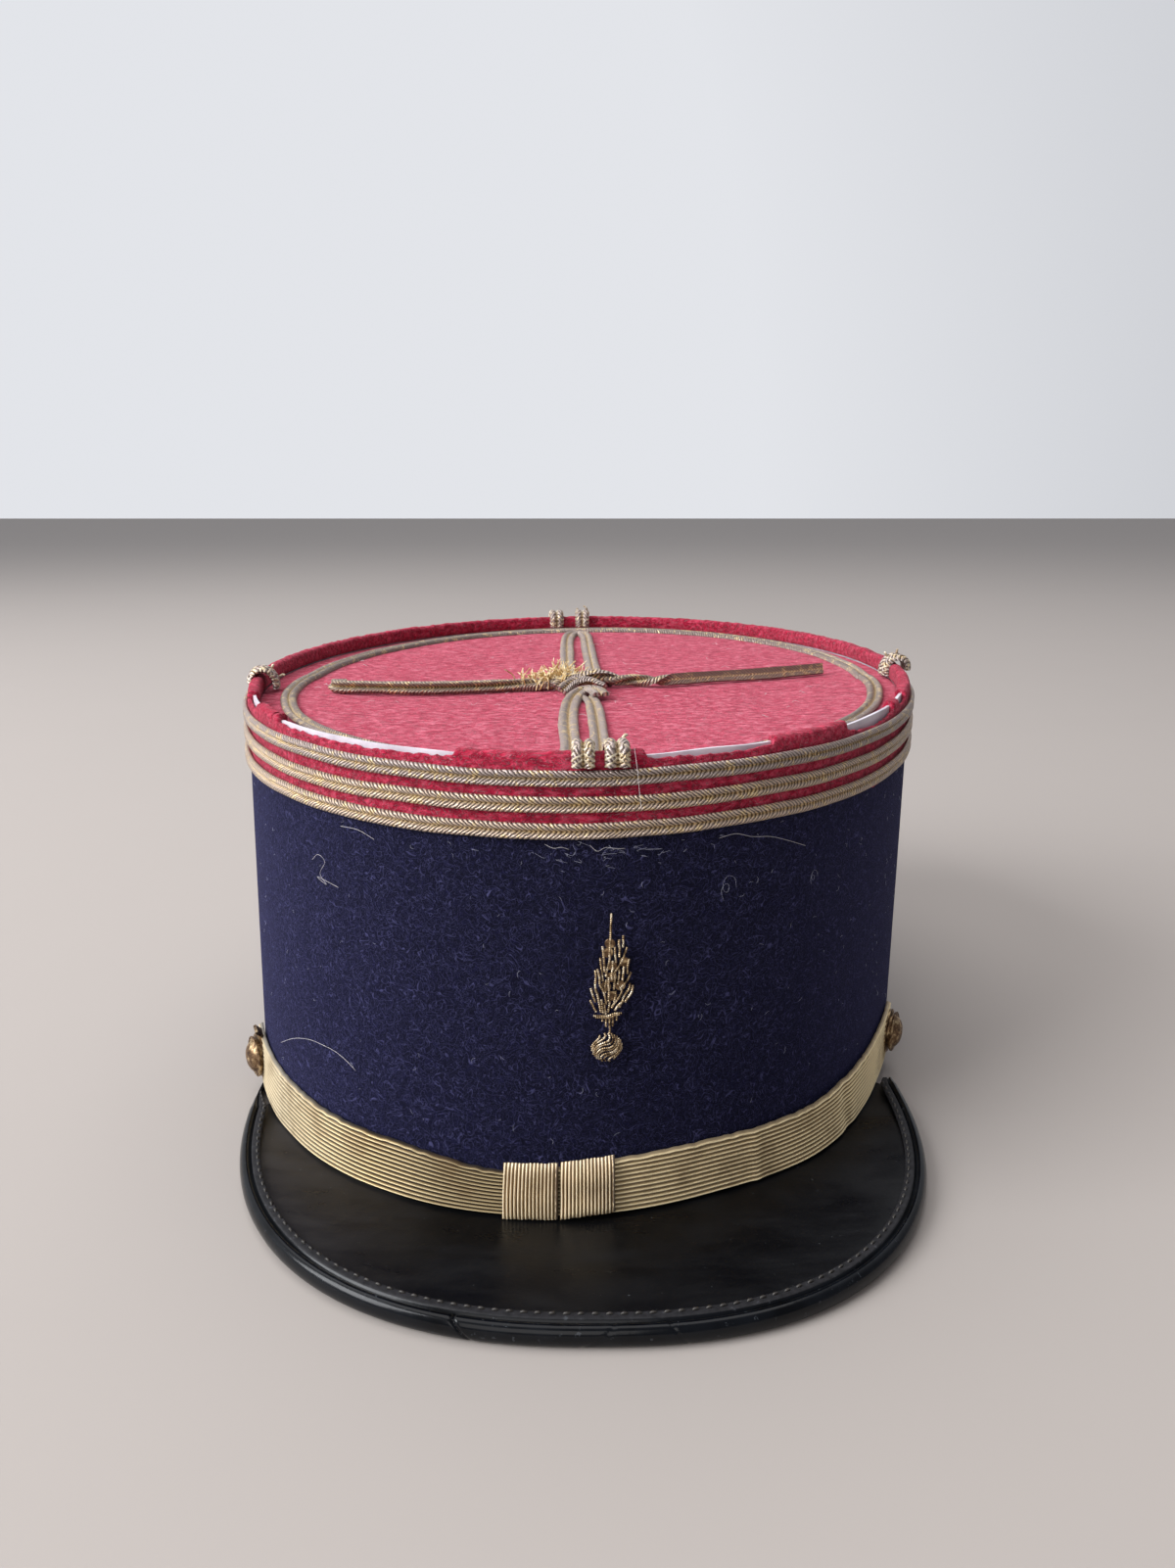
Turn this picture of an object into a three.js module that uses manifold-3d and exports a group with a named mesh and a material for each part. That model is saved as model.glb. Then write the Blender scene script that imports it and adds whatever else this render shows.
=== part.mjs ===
// Kepi cap resting on a table: felt band, red crown, flat braids, leather peak, lace strap.
// Lengths are millimetres, +Z is up and the peak points along -Y.
import * as THREE from "three";
import Module from "manifold-3d";

const wasm = await Module();
wasm.setup();

// Head size and height
const BASE = { a: 84, b: 100.8 };
const RIM = { a: 84.85, b: 92.7 };
const OVAL_TURN = THREE.MathUtils.degToRad(-14);
const RIM_HEIGHT = 97.7;
const RIM_SLOPE = 0.034;
const GAP = 0.3;
const STATIONS = 60;

// Cloth and card thicknesses
const FELT = 2;
const CLOTH = 0.9;
const CARD = 0.8;
const DISC_DROP = 4;
const DISC_THICK = 1.6;
const DISC_SAG = 0.6;

// Flat braid of two cords side by side
const BRAID_WIDTH = 3.3;
const BRAID_THICK = 1.05;
const OVAL_BRAID_WIDTH = 4;
const BRAID_ROWS = { upper: 3, middle: 8, lower: 13 };
const OVAL_INSET = { side: 9.5, end: 6.5 };
const LEG = 4.6;
const BAR = { height: 3.4, thick: 1.6 };
const KNOT = { width: 5.4, thick: 2.2 };

// Peak and its bound edge
const PEAK = { half: 77.2, reach: 83, power: 2.38, x: -1.5, y: -52, lean: 3.2 };
const HORN = { left: 3.5, leftShare: 0.015, right: 6.5, rightShare: 0.025 };
const PEAK_THICK = 1.6;
const PEAK_ROOT_TOP = 1.7;
const PEAK_EDGE_TOP = 3.2;
const ROLL = { sideWidth: 2.4, frontWidth: 3, height: 4.1 };
const LEDGE = { width: 1.9, thick: 0.5 };
const NARROWEST = 0.12;

// Strap, slides and buttons
const STRAP = { height: 11.5, thick: 1, out: 0.5, low: 2.1, flare: 0.7, leftRise: 1.2, rightRise: 2.6 };
const SAG = { at: 0.41, spread: 0.07, drop: 2.7 };
const BULGE = { at: 0.74, spread: 0.09, drop: 1.6, stand: 2.4 };
const SLIDE = { thick: 1.3, height: 11.2, low: 2.1, lean: 1.3 };
const BUTTON = { radius: 4.9, depth: 4 };
const BUTTONS = { left: { x: -80.5, y: -50, z: 9 }, right: { x: 77.6, y: -40, z: 10.5 } };

const degrees = THREE.MathUtils.degToRad;
const lerp = THREE.MathUtils.lerp;
const smooth = THREE.MathUtils.smoothstep;
const point = (x, y, z) => new THREE.Vector3(x, y, z);
const azimuth = (x, y) => Math.atan2(y, x);

// Distance from the axis to a turned oval along a direction
function ovalRadius(a, b, az) {
  const c = Math.cos(az - OVAL_TURN) / a;
  const s = Math.sin(az - OVAL_TURN) / b;
  return 1 / Math.hypot(c, s);
}

const rimZ = (az) => RIM_HEIGHT + RIM_SLOPE * ovalRadius(RIM.a, RIM.b, az) * Math.sin(az);

// Point on the side wall at a height, moved out from its face
function wall(az, z, out) {
  const t = z / rimZ(az);
  const r = ovalRadius(lerp(BASE.a, RIM.a, t) + out, lerp(BASE.b, RIM.b, t) + out, az);
  return point(r * Math.cos(az), r * Math.sin(az), z);
}

// Same point with the height measured down from the rim
const below = (az, drop, out) => wall(az, rimZ(az) - drop, out);

// Closed body from rows of matching points: a ring when it meets itself, else capped
function skin(rows, ring) {
  const n = rows[0].length;
  const positions = rows.flat().flatMap((p) => [p.x, p.y, p.z]);
  const index = [];
  const count = ring ? rows.length : rows.length - 1;
  for (let i = 0; i < count; i++) {
    const j = (i + 1) % rows.length;
    for (let k = 0; k < n; k++) {
      const m = (k + 1) % n;
      index.push(i * n + k, j * n + k, j * n + m);
      index.push(i * n + k, j * n + m, i * n + m);
    }
  }
  if (!ring) {
    capRow(rows[0], 0, index, true);
    capRow(rows[rows.length - 1], (rows.length - 1) * n, index, false);
  }
  const geometry = new THREE.BufferGeometry();
  geometry.setAttribute("position", new THREE.Float32BufferAttribute(positions, 3));
  geometry.setIndex(index);
  return outward(geometry);
}

// Flat cap over one end row
function capRow(row, start, index, first) {
  const centre = row.reduce((s, p) => s.add(p), point(0, 0, 0)).divideScalar(row.length);
  const normal = point(0, 0, 0);
  row.forEach((p, i) => {
    const q = row[(i + 1) % row.length];
    normal.add(p.clone().sub(centre).cross(q.clone().sub(centre)));
  });
  normal.normalize();
  const u = row[1].clone().sub(row[0]).projectOnPlane(normal).normalize();
  const v = normal.clone().cross(u);
  const flat = row.map((p) => new THREE.Vector2(p.dot(u), p.dot(v)));
  for (const [a, b, c] of THREE.ShapeUtils.triangulateShape(flat, [])) {
    if (first) index.push(start + a, start + b, start + c);
    else index.push(start + a, start + c, start + b);
  }
}

// Turns a body's faces outwards when its rows ran the other way
function outward(geometry) {
  const p = geometry.getAttribute("position");
  const at = (i) => point(p.getX(i), p.getY(i), p.getZ(i));
  const index = geometry.getIndex().array;
  let volume = 0;
  for (let i = 0; i < index.length; i += 3) {
    volume += at(index[i]).dot(at(index[i + 1]).cross(at(index[i + 2])));
  }
  if (volume > 0) return geometry;
  for (let i = 0; i < index.length; i += 3) {
    [index[i + 1], index[i + 2]] = [index[i + 2], index[i + 1]];
  }
  return geometry;
}

// Ring around the head from a profile of [out, drop] pairs
function rimRing(profile, stations = STATIONS) {
  const rows = [];
  for (let i = 0; i < stations; i++) {
    const az = (i / stations) * 2 * Math.PI;
    rows.push(profile.map(([out, drop]) => below(az, drop, out)));
  }
  return skin(rows, true);
}

// Section of a two-cord braid, across its width and up from its back
function braidSection(width, thick) {
  const shares = [
    [-0.5, 0],
    [0.5, 0],
    [0.5, 0.6],
    [0.27, 1],
    [0, 0.68],
    [-0.27, 1],
    [-0.5, 0.6],
  ];
  return shares.map(([across, up]) => [across * width, up * thick]);
}

// Braid laid along points, its back towards the down side
function braid(points, width, thick, ups, steps) {
  const curve = new THREE.CatmullRomCurve3(points, false, "centripetal");
  const rise = new THREE.CatmullRomCurve3(ups || points.map(() => point(0, 0, 1)), false, "centripetal");
  const section = braidSection(width, thick);
  const rows = [];
  for (let i = 0; i <= steps; i++) {
    const t = i / steps;
    const at = curve.getPoint(t);
    const along = curve.getTangent(t);
    const up = rise.getPoint(t).projectOnPlane(along).normalize();
    const side = along.clone().cross(up);
    rows.push(section.map(([s, u]) => at.clone().addScaledVector(side, s).addScaledVector(up, u)));
  }
  return skin(rows, false);
}

// Boolean work on closed bodies
function toSolid(geometry) {
  const p = geometry.getAttribute("position").array;
  const tri = new Uint32Array(geometry.getIndex().array);
  return new wasm.Manifold(new wasm.Mesh({ numProp: 3, vertProperties: new Float32Array(p), triVerts: tri }));
}

function toGeometry(solid) {
  const mesh = solid.getMesh();
  const geometry = new THREE.BufferGeometry();
  geometry.setAttribute("position", new THREE.BufferAttribute(new Float32Array(mesh.vertProperties), 3));
  geometry.setIndex(new THREE.BufferAttribute(new Uint32Array(mesh.triVerts), 1));
  return geometry;
}

const cap = new THREE.Group();
cap.name = "kepi_cap";

function add(name, geometry, colour, roughness, metalness) {
  geometry.computeVertexNormals();
  const material = new THREE.MeshStandardMaterial({ color: colour, roughness, metalness });
  const mesh = new THREE.Mesh(geometry, material);
  mesh.name = name;
  cap.add(mesh);
}

const NAVY = 0x201f3a;
const RED = 0xb02a44;
const RED_TOP = 0xc05068;
const WHITE = 0xd2cad2;
const BRAID = 0x8a7650;
const LACE = 0xc8ad70;
const BRASS = 0x8f7040;
const PATENT = 0x1b1d1f;

// Felt band, cut away underneath at the front so that it stands on the peak
const SPLIT_DROP = BRAID_ROWS.lower + BRAID_WIDTH / 2;
function bandFoot(az) {
  const { x, y } = wall(az, 0, 0);
  const start = x > 0 ? 29 : 37;
  return lerp(0, PEAK_ROOT_TOP + GAP, smooth(-y, start, start + 9));
}

function feltBand() {
  const rows = [];
  const levels = [0, 0.35, 0.7];
  for (let i = 0; i < STATIONS; i++) {
    const az = (i / STATIONS) * 2 * Math.PI;
    const foot = bandFoot(az);
    const top = rimZ(az) - SPLIT_DROP - GAP / 2;
    const outer = levels.map((t) => wall(az, lerp(foot, top, t), 0));
    const edge = [wall(az, top, 0), wall(az, top, -FELT)];
    rows.push([...outer, ...edge, wall(az, foot, -FELT)]);
  }
  return skin(rows, true);
}
add("band", feltBand(), NAVY, 0.95, 0);

// Red crown side, folded over the card and down to the disc
const LIP = DISC_DROP - GAP;
const cardOuter = -CLOTH - GAP;
const cardInner = cardOuter - CARD;
const lipOuter = cardInner - GAP;
const lipInner = lipOuter - 0.6;
const crownProfile = [
  [0, SPLIT_DROP - GAP / 2],
  [0, 0.7],
  [-0.4, 0.1],
  [-1.4, -0.1],
  [lipInner + 0.4, 0.1],
  [lipInner, 0.7],
  [lipInner, LIP],
  [lipOuter, LIP],
  [lipOuter, 0.7],
  [-CLOTH, 0.7],
  [-CLOTH, SPLIT_DROP - GAP / 2],
];

// Where the fold is worn off and the white card shows, from the front rim round to its right
const TEARS = [
  { from: 222, to: 255, outerDrop: 1.6 },
  { from: 204.5, to: 214, outerDrop: 1.8 },
  { from: 276.5, to: 295, outerDrop: 1.4 },
  { from: 306, to: 325, outerDrop: 2.2 },
];

// Ring sector that takes the worn cloth away
function tearCutter({ from, to, outerDrop }) {
  const rows = [];
  const steps = 8;
  for (let i = 0; i <= steps; i++) {
    const az = degrees(lerp(from, to, i / steps));
    const ragged = outerDrop * (0.75 + 0.25 * Math.sin(i * 2.3));
    rows.push([
      below(az, -2, 1),
      below(az, -2, lipInner - 1),
      below(az, LIP + 0.2, lipInner - 1),
      below(az, LIP + 0.2, cardOuter + 0.1),
      below(az, ragged, cardOuter + 0.1),
      below(az, ragged, 1),
    ]);
  }
  return toSolid(skin(rows, false));
}
let crown = toSolid(rimRing(crownProfile));
for (const tear of TEARS) crown = crown.subtract(tearCutter(tear));
add("crown_side", toGeometry(crown), RED, 0.95, 0);

const cardProfile = [
  [cardOuter, 1.0],
  [cardInner, 1.0],
  [cardInner, DISC_DROP + DISC_THICK + 2],
  [cardOuter, DISC_DROP + DISC_THICK + 2],
];
add("rim_card", rimRing(cardProfile), WHITE, 0.45, 0);

// Sunk crown top, sagging a little towards the middle
const discEdge = cardInner - GAP;
function discZ(x, y, share) {
  return RIM_HEIGHT + RIM_SLOPE * y - DISC_DROP - DISC_SAG * (1 - share * share);
}
function crownTop() {
  const rings = [1, 0.75, 0.45, 0.15];
  const rows = [];
  for (let i = 0; i < STATIONS; i++) {
    const az = (i / STATIONS) * 2 * Math.PI;
    const rim = ovalRadius(RIM.a + discEdge, RIM.b + discEdge, az);
    const top = rings.map((s) => point(s * rim * Math.cos(az), s * rim * Math.sin(az), 0));
    top.forEach((p, k) => p.setZ(discZ(p.x, p.y, rings[k])));
    const under = [...top].reverse().map((p) => p.clone().setZ(p.z - DISC_THICK));
    rows.push([...top, ...under]);
  }
  return fillMiddle(rows, rings.length);
}

// Closes the top and the underside of a disc whose rows stop short of the axis
function fillMiddle(rows, half) {
  const geometry = skin(rows, true);
  const n = rows[0].length;
  const positions = [...geometry.getAttribute("position").array];
  const old = [...geometry.getIndex().array];
  const inner = (half - 1) % n;
  const under = half % n;
  const keep = [];
  for (let i = 0; i < old.length; i += 3) {
    const marks = old.slice(i, i + 3).map((v) => v % n);
    if (!marks.every((m) => m === inner || m === under)) keep.push(...old.slice(i, i + 3));
  }
  for (const [mark, z] of [
    [inner, discZ(0, 0, 0)],
    [under, discZ(0, 0, 0) - DISC_THICK],
  ]) {
    const centre = positions.length / 3;
    positions.push(0, 0, z);
    for (let i = 0; i < rows.length; i++) {
      const a = i * n + mark;
      const b = ((i + 1) % rows.length) * n + mark;
      if (mark === inner) keep.push(centre, a, b);
      else keep.push(centre, b, a);
    }
  }
  const closed = new THREE.BufferGeometry();
  closed.setAttribute("position", new THREE.Float32BufferAttribute(positions, 3));
  closed.setIndex(keep);
  return outward(closed);
}
add("crown_top", crownTop(), RED_TOP, 0.95, 0);

// Three braids around the crown side
for (const [name, drop] of Object.entries(BRAID_ROWS)) {
  const profile = braidSection(BRAID_WIDTH, BRAID_THICK).map(([across, up]) => [
    GAP + up,
    drop + BRAID_WIDTH / 2 + across,
  ]);
  add("braid_" + name, rimRing(profile), BRAID, 0.7, 0.25);
}

// Oval braid lying on the crown top
function ovalBraid() {
  const rows = [];
  for (let i = 0; i < STATIONS; i++) {
    const az = (i / STATIONS) * 2 * Math.PI;
    const mid = OVAL_BRAID_WIDTH / 2;
    const row = braidSection(OVAL_BRAID_WIDTH, BRAID_THICK).map(([across, up]) => {
      const inSide = OVAL_INSET.side + mid + across;
      const inEnd = OVAL_INSET.end + mid + across;
      const r = ovalRadius(RIM.a - inSide, RIM.b - inEnd, az);
      const share = r / ovalRadius(RIM.a + discEdge, RIM.b + discEdge, az);
      const p = point(r * Math.cos(az), r * Math.sin(az), 0);
      return p.setZ(discZ(p.x, p.y, share) + GAP + up);
    });
    rows.push(row);
  }
  return skin(rows, true);
}
add("braid_oval", ovalBraid(), BRAID, 0.7, 0.25);

// Braids of the cross, laid on the crown top: flat ones show both cords, bars stand on edge
function onTop(x, y, lift) {
  const rim = ovalRadius(RIM.a + discEdge, RIM.b + discEdge, azimuth(x, y));
  return point(x, y, discZ(x, y, Math.hypot(x, y) / rim) + GAP + lift);
}

// Paths as shares of the rim's half width and half length
const CROSS = [
  {
    name: "front_loop",
    path: [
      [-0.032, -0.83],
      [-0.041, -0.573],
      [-0.042, -0.385],
      [-0.036, -0.28],
      [-0.006, -0.228],
      [0.026, -0.28],
      [0.03, -0.385],
      [0.035, -0.573],
      [0.039, -0.83],
    ],
    steps: 18,
  },
  {
    name: "back_loop",
    path: [
      [-0.05, -0.065],
      [-0.06, 0.358],
      [-0.065, 0.647],
      [-0.061, 0.777],
      [-0.028, 0.83],
      [0.005, 0.777],
      [0.011, 0.647],
      [0.021, 0.358],
      [0.033, -0.065],
    ],
    steps: 18,
  },
  {
    name: "cross_bar_left",
    path: [
      [-0.717, -0.189],
      [-0.474, -0.208],
      [-0.317, -0.173],
      [-0.094, -0.135],
    ],
    steps: 9,
    onEdge: true,
  },
  {
    name: "cross_bar_right",
    path: [
      [0.097, -0.119],
      [0.252, -0.092],
      [0.398, -0.037],
      [0.763, 0.08],
    ],
    steps: 9,
    onEdge: true,
  },
];
for (const { name, path, steps, onEdge } of CROSS) {
  const lift = onEdge ? BAR.height / 2 : 0;
  const points = path.map(([x, y]) => onTop(x * RIM.a, y * RIM.b, lift));
  const faceFront = onEdge ? points.map(() => point(0, -1, 0)) : null;
  const width = onEdge ? BAR.height : LEG;
  const thick = onEdge ? BAR.thick : BRAID_THICK;
  add(name, braid(points, width, thick, faceFront, steps), BRAID, 0.7, 0.25);
}

// Lump of braid where the loops and the bars meet
const knotPath = [
  [-0.07, -0.15],
  [-0.02, -0.14],
  [0.03, -0.13],
  [0.072, -0.12],
];
const knotPoints = knotPath.map(([x, y]) => onTop(x * RIM.a, y * RIM.b, 0));
add("centre_knot", braid(knotPoints, KNOT.width, KNOT.thick, null, 8), BRAID, 0.7, 0.25);

// Wrapped braid ends passing over the rim
const WRAPS = [
  { name: "rim_knot_front_left", az: -90, width: 0.95 },
  { name: "rim_knot_front_right", az: -86.1, width: 1 },
  { name: "rim_knot_back_left", az: 96.2, width: 1 },
  { name: "rim_knot_back_right", az: 90.4, width: 1 },
  { name: "rim_knot_left", az: -170.9, width: 1.35 },
  { name: "rim_knot_right", az: 3.3, width: 1.35 },
];
const WRAP = { thick: 1.3, above: 0.75, out: 0.5 };
function rimKnot({ az, width }) {
  const turn = degrees(az);
  const at = (out, drop) => below(turn, drop, out);
  const outDir = point(Math.cos(turn), Math.sin(turn), 0);
  const up = (o, z) => outDir.clone().multiplyScalar(o).add(point(0, 0, z));
  const inside = lipInner - GAP;
  const points = [
    at(inside - 0.2, DISC_DROP - 2 * GAP),
    at(inside - 0.15, 1),
    at(inside + 0.5, -WRAP.above / 2),
    at((inside + WRAP.out) / 2, -WRAP.above),
    at(0.15, -WRAP.above / 2),
    at(WRAP.out + 0.05, 0.7),
    at(WRAP.out, BRAID_ROWS.upper - GAP - 0.1),
  ];
  const ups = [up(-1, 0), up(-1, 0.2), up(-0.7, 1), up(0, 1), up(0.7, 0.8), up(1, 0.2), up(1, 0)];
  return braid(points, width * LEG, WRAP.thick, ups, 10);
}
for (const wrap of WRAPS) add(wrap.name, rimKnot(wrap), LACE, 0.6, 0.4);

// Point on the peak's outline from its left horn round to its right one; both horns run straight back
function peakEdge(t) {
  const bend = THREE.MathUtils.clamp((t - HORN.leftShare) / (1 - HORN.leftShare - HORN.rightShare), 0, 1);
  const leftRun = Math.max(0, HORN.leftShare - t) / HORN.leftShare;
  const rightRun = Math.max(0, t - 1 + HORN.rightShare) / HORN.rightShare;
  const angle = Math.PI * (1 + bend);
  const pow = 2 / PEAK.power;
  const across = Math.sign(Math.cos(angle)) * Math.abs(Math.cos(angle)) ** pow;
  const forward = Math.abs(Math.sin(angle)) ** pow;
  const back = leftRun * HORN.left + rightRun * HORN.right;
  return new THREE.Vector2(
    PEAK.x + across * PEAK.half + forward * PEAK.lean,
    PEAK.y - forward * PEAK.reach + back,
  );
}

// Outline point, its inward direction, the roll's width there and how much of the bound edge fits outside the band
function edgeAt(t) {
  const here = peakEdge(t);
  const step = HORN.leftShare / 8;
  const along = peakEdge(Math.min(t + step, 1)).sub(peakEdge(Math.max(t - step, 0))).normalize();
  const az = azimuth(here.x, here.y);
  const strapFace = STRAP.out + STRAP.thick + STRAP.flare + GAP;
  const room = here.length() - ovalRadius(BASE.a + strapFace, BASE.b + strapFace, az);
  const roll = lerp(ROLL.sideWidth, ROLL.frontWidth, Math.sin(Math.PI * t) ** 1.5);
  const share = THREE.MathUtils.clamp(room / (roll + LEDGE.width + GAP), NARROWEST, 1);
  return { here, inward: new THREE.Vector2(-along.y, along.x), roll, share };
}

// Peak plate between the band and the bound edge
const PEAK_STEPS = 38;
const PLATE_FROM = 0.035;
const PLATE_TO = 0.985;
function peakPlate() {
  const shape = [];
  for (let i = 0; i <= PEAK_STEPS; i++) {
    const { here, inward, roll, share } = edgeAt(lerp(PLATE_FROM, PLATE_TO, i / PEAK_STEPS));
    const outer = here.clone().addScaledVector(inward, (roll + 2 * GAP) * share);
    const az = azimuth(outer.x, outer.y);
    const innerReach = ovalRadius(BASE.a - FELT, BASE.b - FELT, az);
    const outerReach = Math.max(outer.length(), innerReach + 1.2);
    const at = (reach, z) => point(reach * Math.cos(az), reach * Math.sin(az), z);
    const mid = Math.max(innerReach + FELT + 3, lerp(innerReach, outerReach, 0.3));
    const rise = THREE.MathUtils.clamp((outerReach - mid) / 12, 0, 1);
    const edgeTop = lerp(PEAK_ROOT_TOP, PEAK_EDGE_TOP, rise);
    const middle = Math.min(mid, outerReach - 0.4);
    shape.push([
      at(innerReach, PEAK_ROOT_TOP),
      at(middle, PEAK_ROOT_TOP),
      at(outerReach, edgeTop),
      at(outerReach, edgeTop - PEAK_THICK),
      at(middle, PEAK_ROOT_TOP - PEAK_THICK),
      at(innerReach, PEAK_ROOT_TOP - PEAK_THICK),
    ]);
  }
  return skin(shape, false);
}
add("peak", peakPlate(), PATENT, 0.3, 0);

// Section of the binding: a roll whose width is given and a stitched ledge lying on the plate
function bindingSection(rollWidth) {
  const angles = [50, 90, 135, 180, 225, 270, 320, 370];
  const roll = angles.map((deg) => [
    (rollWidth / 2) * (1 + Math.cos(degrees(deg))),
    (ROLL.height / 2) * (1 + Math.sin(degrees(deg))),
  ]);
  const low = PEAK_EDGE_TOP + GAP;
  const inner = rollWidth + LEDGE.width;
  return [
    [inner, low],
    [inner, low + LEDGE.thick],
    [rollWidth + 0.1, low + LEDGE.thick],
    [rollWidth * 0.9, low + 0.1],
    ...roll,
    [rollWidth, low - 0.1],
    [rollWidth + 0.2, low],
  ];
}
function peakBinding() {
  const rows = [];
  for (let i = 0; i <= PEAK_STEPS; i++) {
    const { here, inward, roll, share } = edgeAt(i / PEAK_STEPS);
    const low = lerp(0.5, 1, share);
    const place = ([u, z]) => point(here.x + inward.x * u * share, here.y + inward.y * u * share, z * low);
    rows.push(bindingSection(roll).map(place));
  }
  return skin(rows, false);
}
add("peak_binding", peakBinding(), PATENT, 0.25, 0);

// Strip that follows the band between two directions, from a profile of [out, z] pairs
function bandStrip(from, to, steps, profileAt) {
  const rows = [];
  for (let i = 0; i <= steps; i++) {
    const t = i / steps;
    const az = lerp(from, to, t);
    rows.push(profileAt(t, az).map(([out, z]) => wall(az, z, out)));
  }
  return skin(rows, false);
}

// Lace strap, rising towards the buttons
const strapFrom = azimuth(BUTTONS.left.x, BUTTONS.left.y) + 2 * Math.PI - degrees(3);
const strapTo = azimuth(BUTTONS.right.x, BUTTONS.right.y) + 2 * Math.PI + degrees(3);
const hump = (t, { at, spread }) => Math.exp(-(((t - at) / spread) ** 2));
function strapProfile(t) {
  const left = smooth(0.13 - t, 0, 0.13);
  const right = smooth(t - 0.85, 0, 0.15);
  const low = STRAP.low + left * STRAP.leftRise + right * STRAP.rightRise;
  const high = low + STRAP.height - SAG.drop * hump(t, SAG) - BULGE.drop * hump(t, BULGE);
  const flare = STRAP.flare * (1 - left) * (1 - right);
  const stand = BULGE.stand * hump(t, BULGE);
  const inner = STRAP.out + flare + stand;
  const top = STRAP.out + 0.3 * stand;
  return [
    [top, high],
    [inner, low],
    [inner + STRAP.thick, low],
    [top + STRAP.thick, high],
  ];
}
add("chin_strap", bandStrip(strapFrom, strapTo, 44, strapProfile), LACE, 0.55, 0.45);

// Two folded slides on the middle of the strap
const SLIDES = [
  { name: "slide_left", from: -16.7, to: -5.9, raise: 0 },
  { name: "slide_right", from: -5.5, to: 6.1, raise: 0.4 },
];
for (const { name, from, to, raise } of SLIDES) {
  const front = wall(degrees(270), 0, 0).y;
  const low = SLIDE.low + raise;
  const back = STRAP.out + STRAP.thick + GAP;
  const { lean } = SLIDE;
  const high = low + SLIDE.height;
  const profile = () => [
    [back + 0.05, high],
    [back + lean, low],
    [back + lean + SLIDE.thick * 0.7, low],
    [back + lean / 2 + SLIDE.thick, (low + high) / 2],
    [back + SLIDE.thick * 0.7, high],
  ];
  add(name, bandStrip(azimuth(from, front) + 2 * Math.PI, azimuth(to, front) + 2 * Math.PI, 4, profile), LACE, 0.55, 0.45);
}

// Domed buttons with a stepped rim
function button({ x, y, z }) {
  const az = azimuth(x, y);
  const shares = [
    [0, 0],
    [0.5, 0],
    [0.55, 0.2],
    [1, 0.22],
    [1, 0.4],
    [0.86, 0.52],
    [0.7, 0.8],
    [0.4, 0.95],
    [0, 1],
  ];
  const profile = shares.map(([r, h]) => new THREE.Vector2(r * BUTTON.radius, h * BUTTON.depth));
  const geometry = new THREE.LatheGeometry(profile, 18);
  const normal = point(Math.cos(az), Math.sin(az), 0);
  const seat = wall(az, z, STRAP.out + STRAP.thick + GAP + 0.25);
  const turn = new THREE.Quaternion().setFromUnitVectors(point(0, 1, 0), normal);
  geometry.applyQuaternion(turn);
  geometry.translate(seat.x, seat.y, seat.z);
  return geometry;
}
add("button_left", button(BUTTONS.left), BRASS, 0.45, 0.9);
add("button_right", button(BUTTONS.right), BRASS, 0.45, 0.9);

// Embroidered badge on the front: a flame with its spike, over a ball
const BADGE = { x: 5, ballZ: 37.1, ball: 3.75, thick: 1, stemZ: 41.1, height: 22.5 };

// Right half of the flame: shares of the ball's radius across and of the height up
const FLAME = [
  { across: 0.09, up: 0 },
  { across: 0.09, up: 0.06 },
  { across: 0.85, up: 0.07 },
  { across: 1.04, up: 0.18 },
  { across: 0.96, up: 0.24 },
  { across: 1.17, up: 0.38 },
  { across: 1.04, up: 0.45 },
  { across: 0.93, up: 0.53 },
  { across: 0.64, up: 0.63 },
  { across: 0.4, up: 0.73 },
  { across: 0.19, up: 0.8 },
  { across: 0.09, up: 0.82 },
  { across: 0.08, up: 1 },
];
function badgePlace(geometry, lift) {
  const az = azimuth(BADGE.x, wall(degrees(270), BADGE.ballZ, 0).y);
  const low = wall(az, BADGE.ballZ, lift);
  const high = wall(az, BADGE.stemZ + BADGE.height, lift);
  const side = wall(az + 0.02, BADGE.ballZ, lift).sub(wall(az - 0.02, BADGE.ballZ, lift)).normalize();
  const up = high.clone().sub(low).normalize();
  const out = side.clone().cross(up);
  const frame = new THREE.Matrix4().makeBasis(side, out.clone().cross(side), out).setPosition(low);
  return geometry.applyMatrix4(frame);
}
function flame() {
  const foot = BADGE.stemZ - BADGE.ballZ;
  const right = FLAME.map(({ across, up }) => new THREE.Vector2(across * BADGE.ball, foot + up * BADGE.height));
  const left = [...right].reverse().map((p) => new THREE.Vector2(-p.x, p.y));
  const shape = new THREE.Shape([...right, ...left]);
  const geometry = new THREE.ExtrudeGeometry(shape, { depth: BADGE.thick, bevelEnabled: false });
  return badgePlace(geometry, GAP + 0.15);
}
function ball() {
  const shares = [
    [0, 0],
    [1, 0],
    [1, 0.3],
    [0.8, 0.75],
    [0.45, 0.95],
    [0, 1],
  ];
  const profile = shares.map(([r, h]) => new THREE.Vector2(r * BADGE.ball, h * 1.6));
  const geometry = new THREE.LatheGeometry(profile, 18);
  geometry.rotateX(Math.PI / 2);
  return badgePlace(geometry, GAP + 0.15);
}
add("badge_flame", flame(), LACE, 0.5, 0.5);
add("badge_ball", ball(), LACE, 0.5, 0.5);

// The finished cap stands with the middle of its footprint on the origin
cap.updateMatrixWorld(true);
const box = new THREE.Box3().setFromObject(cap);
const middle = box.getCenter(new THREE.Vector3());
cap.position.set(-middle.x, -middle.y, -box.min.z);

export default cap;
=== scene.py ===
"""Kepi cap: felt band, red crown, tarnished braids, gilt lace strap and a bound leather peak."""

import math
import random
from functools import partial

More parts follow.
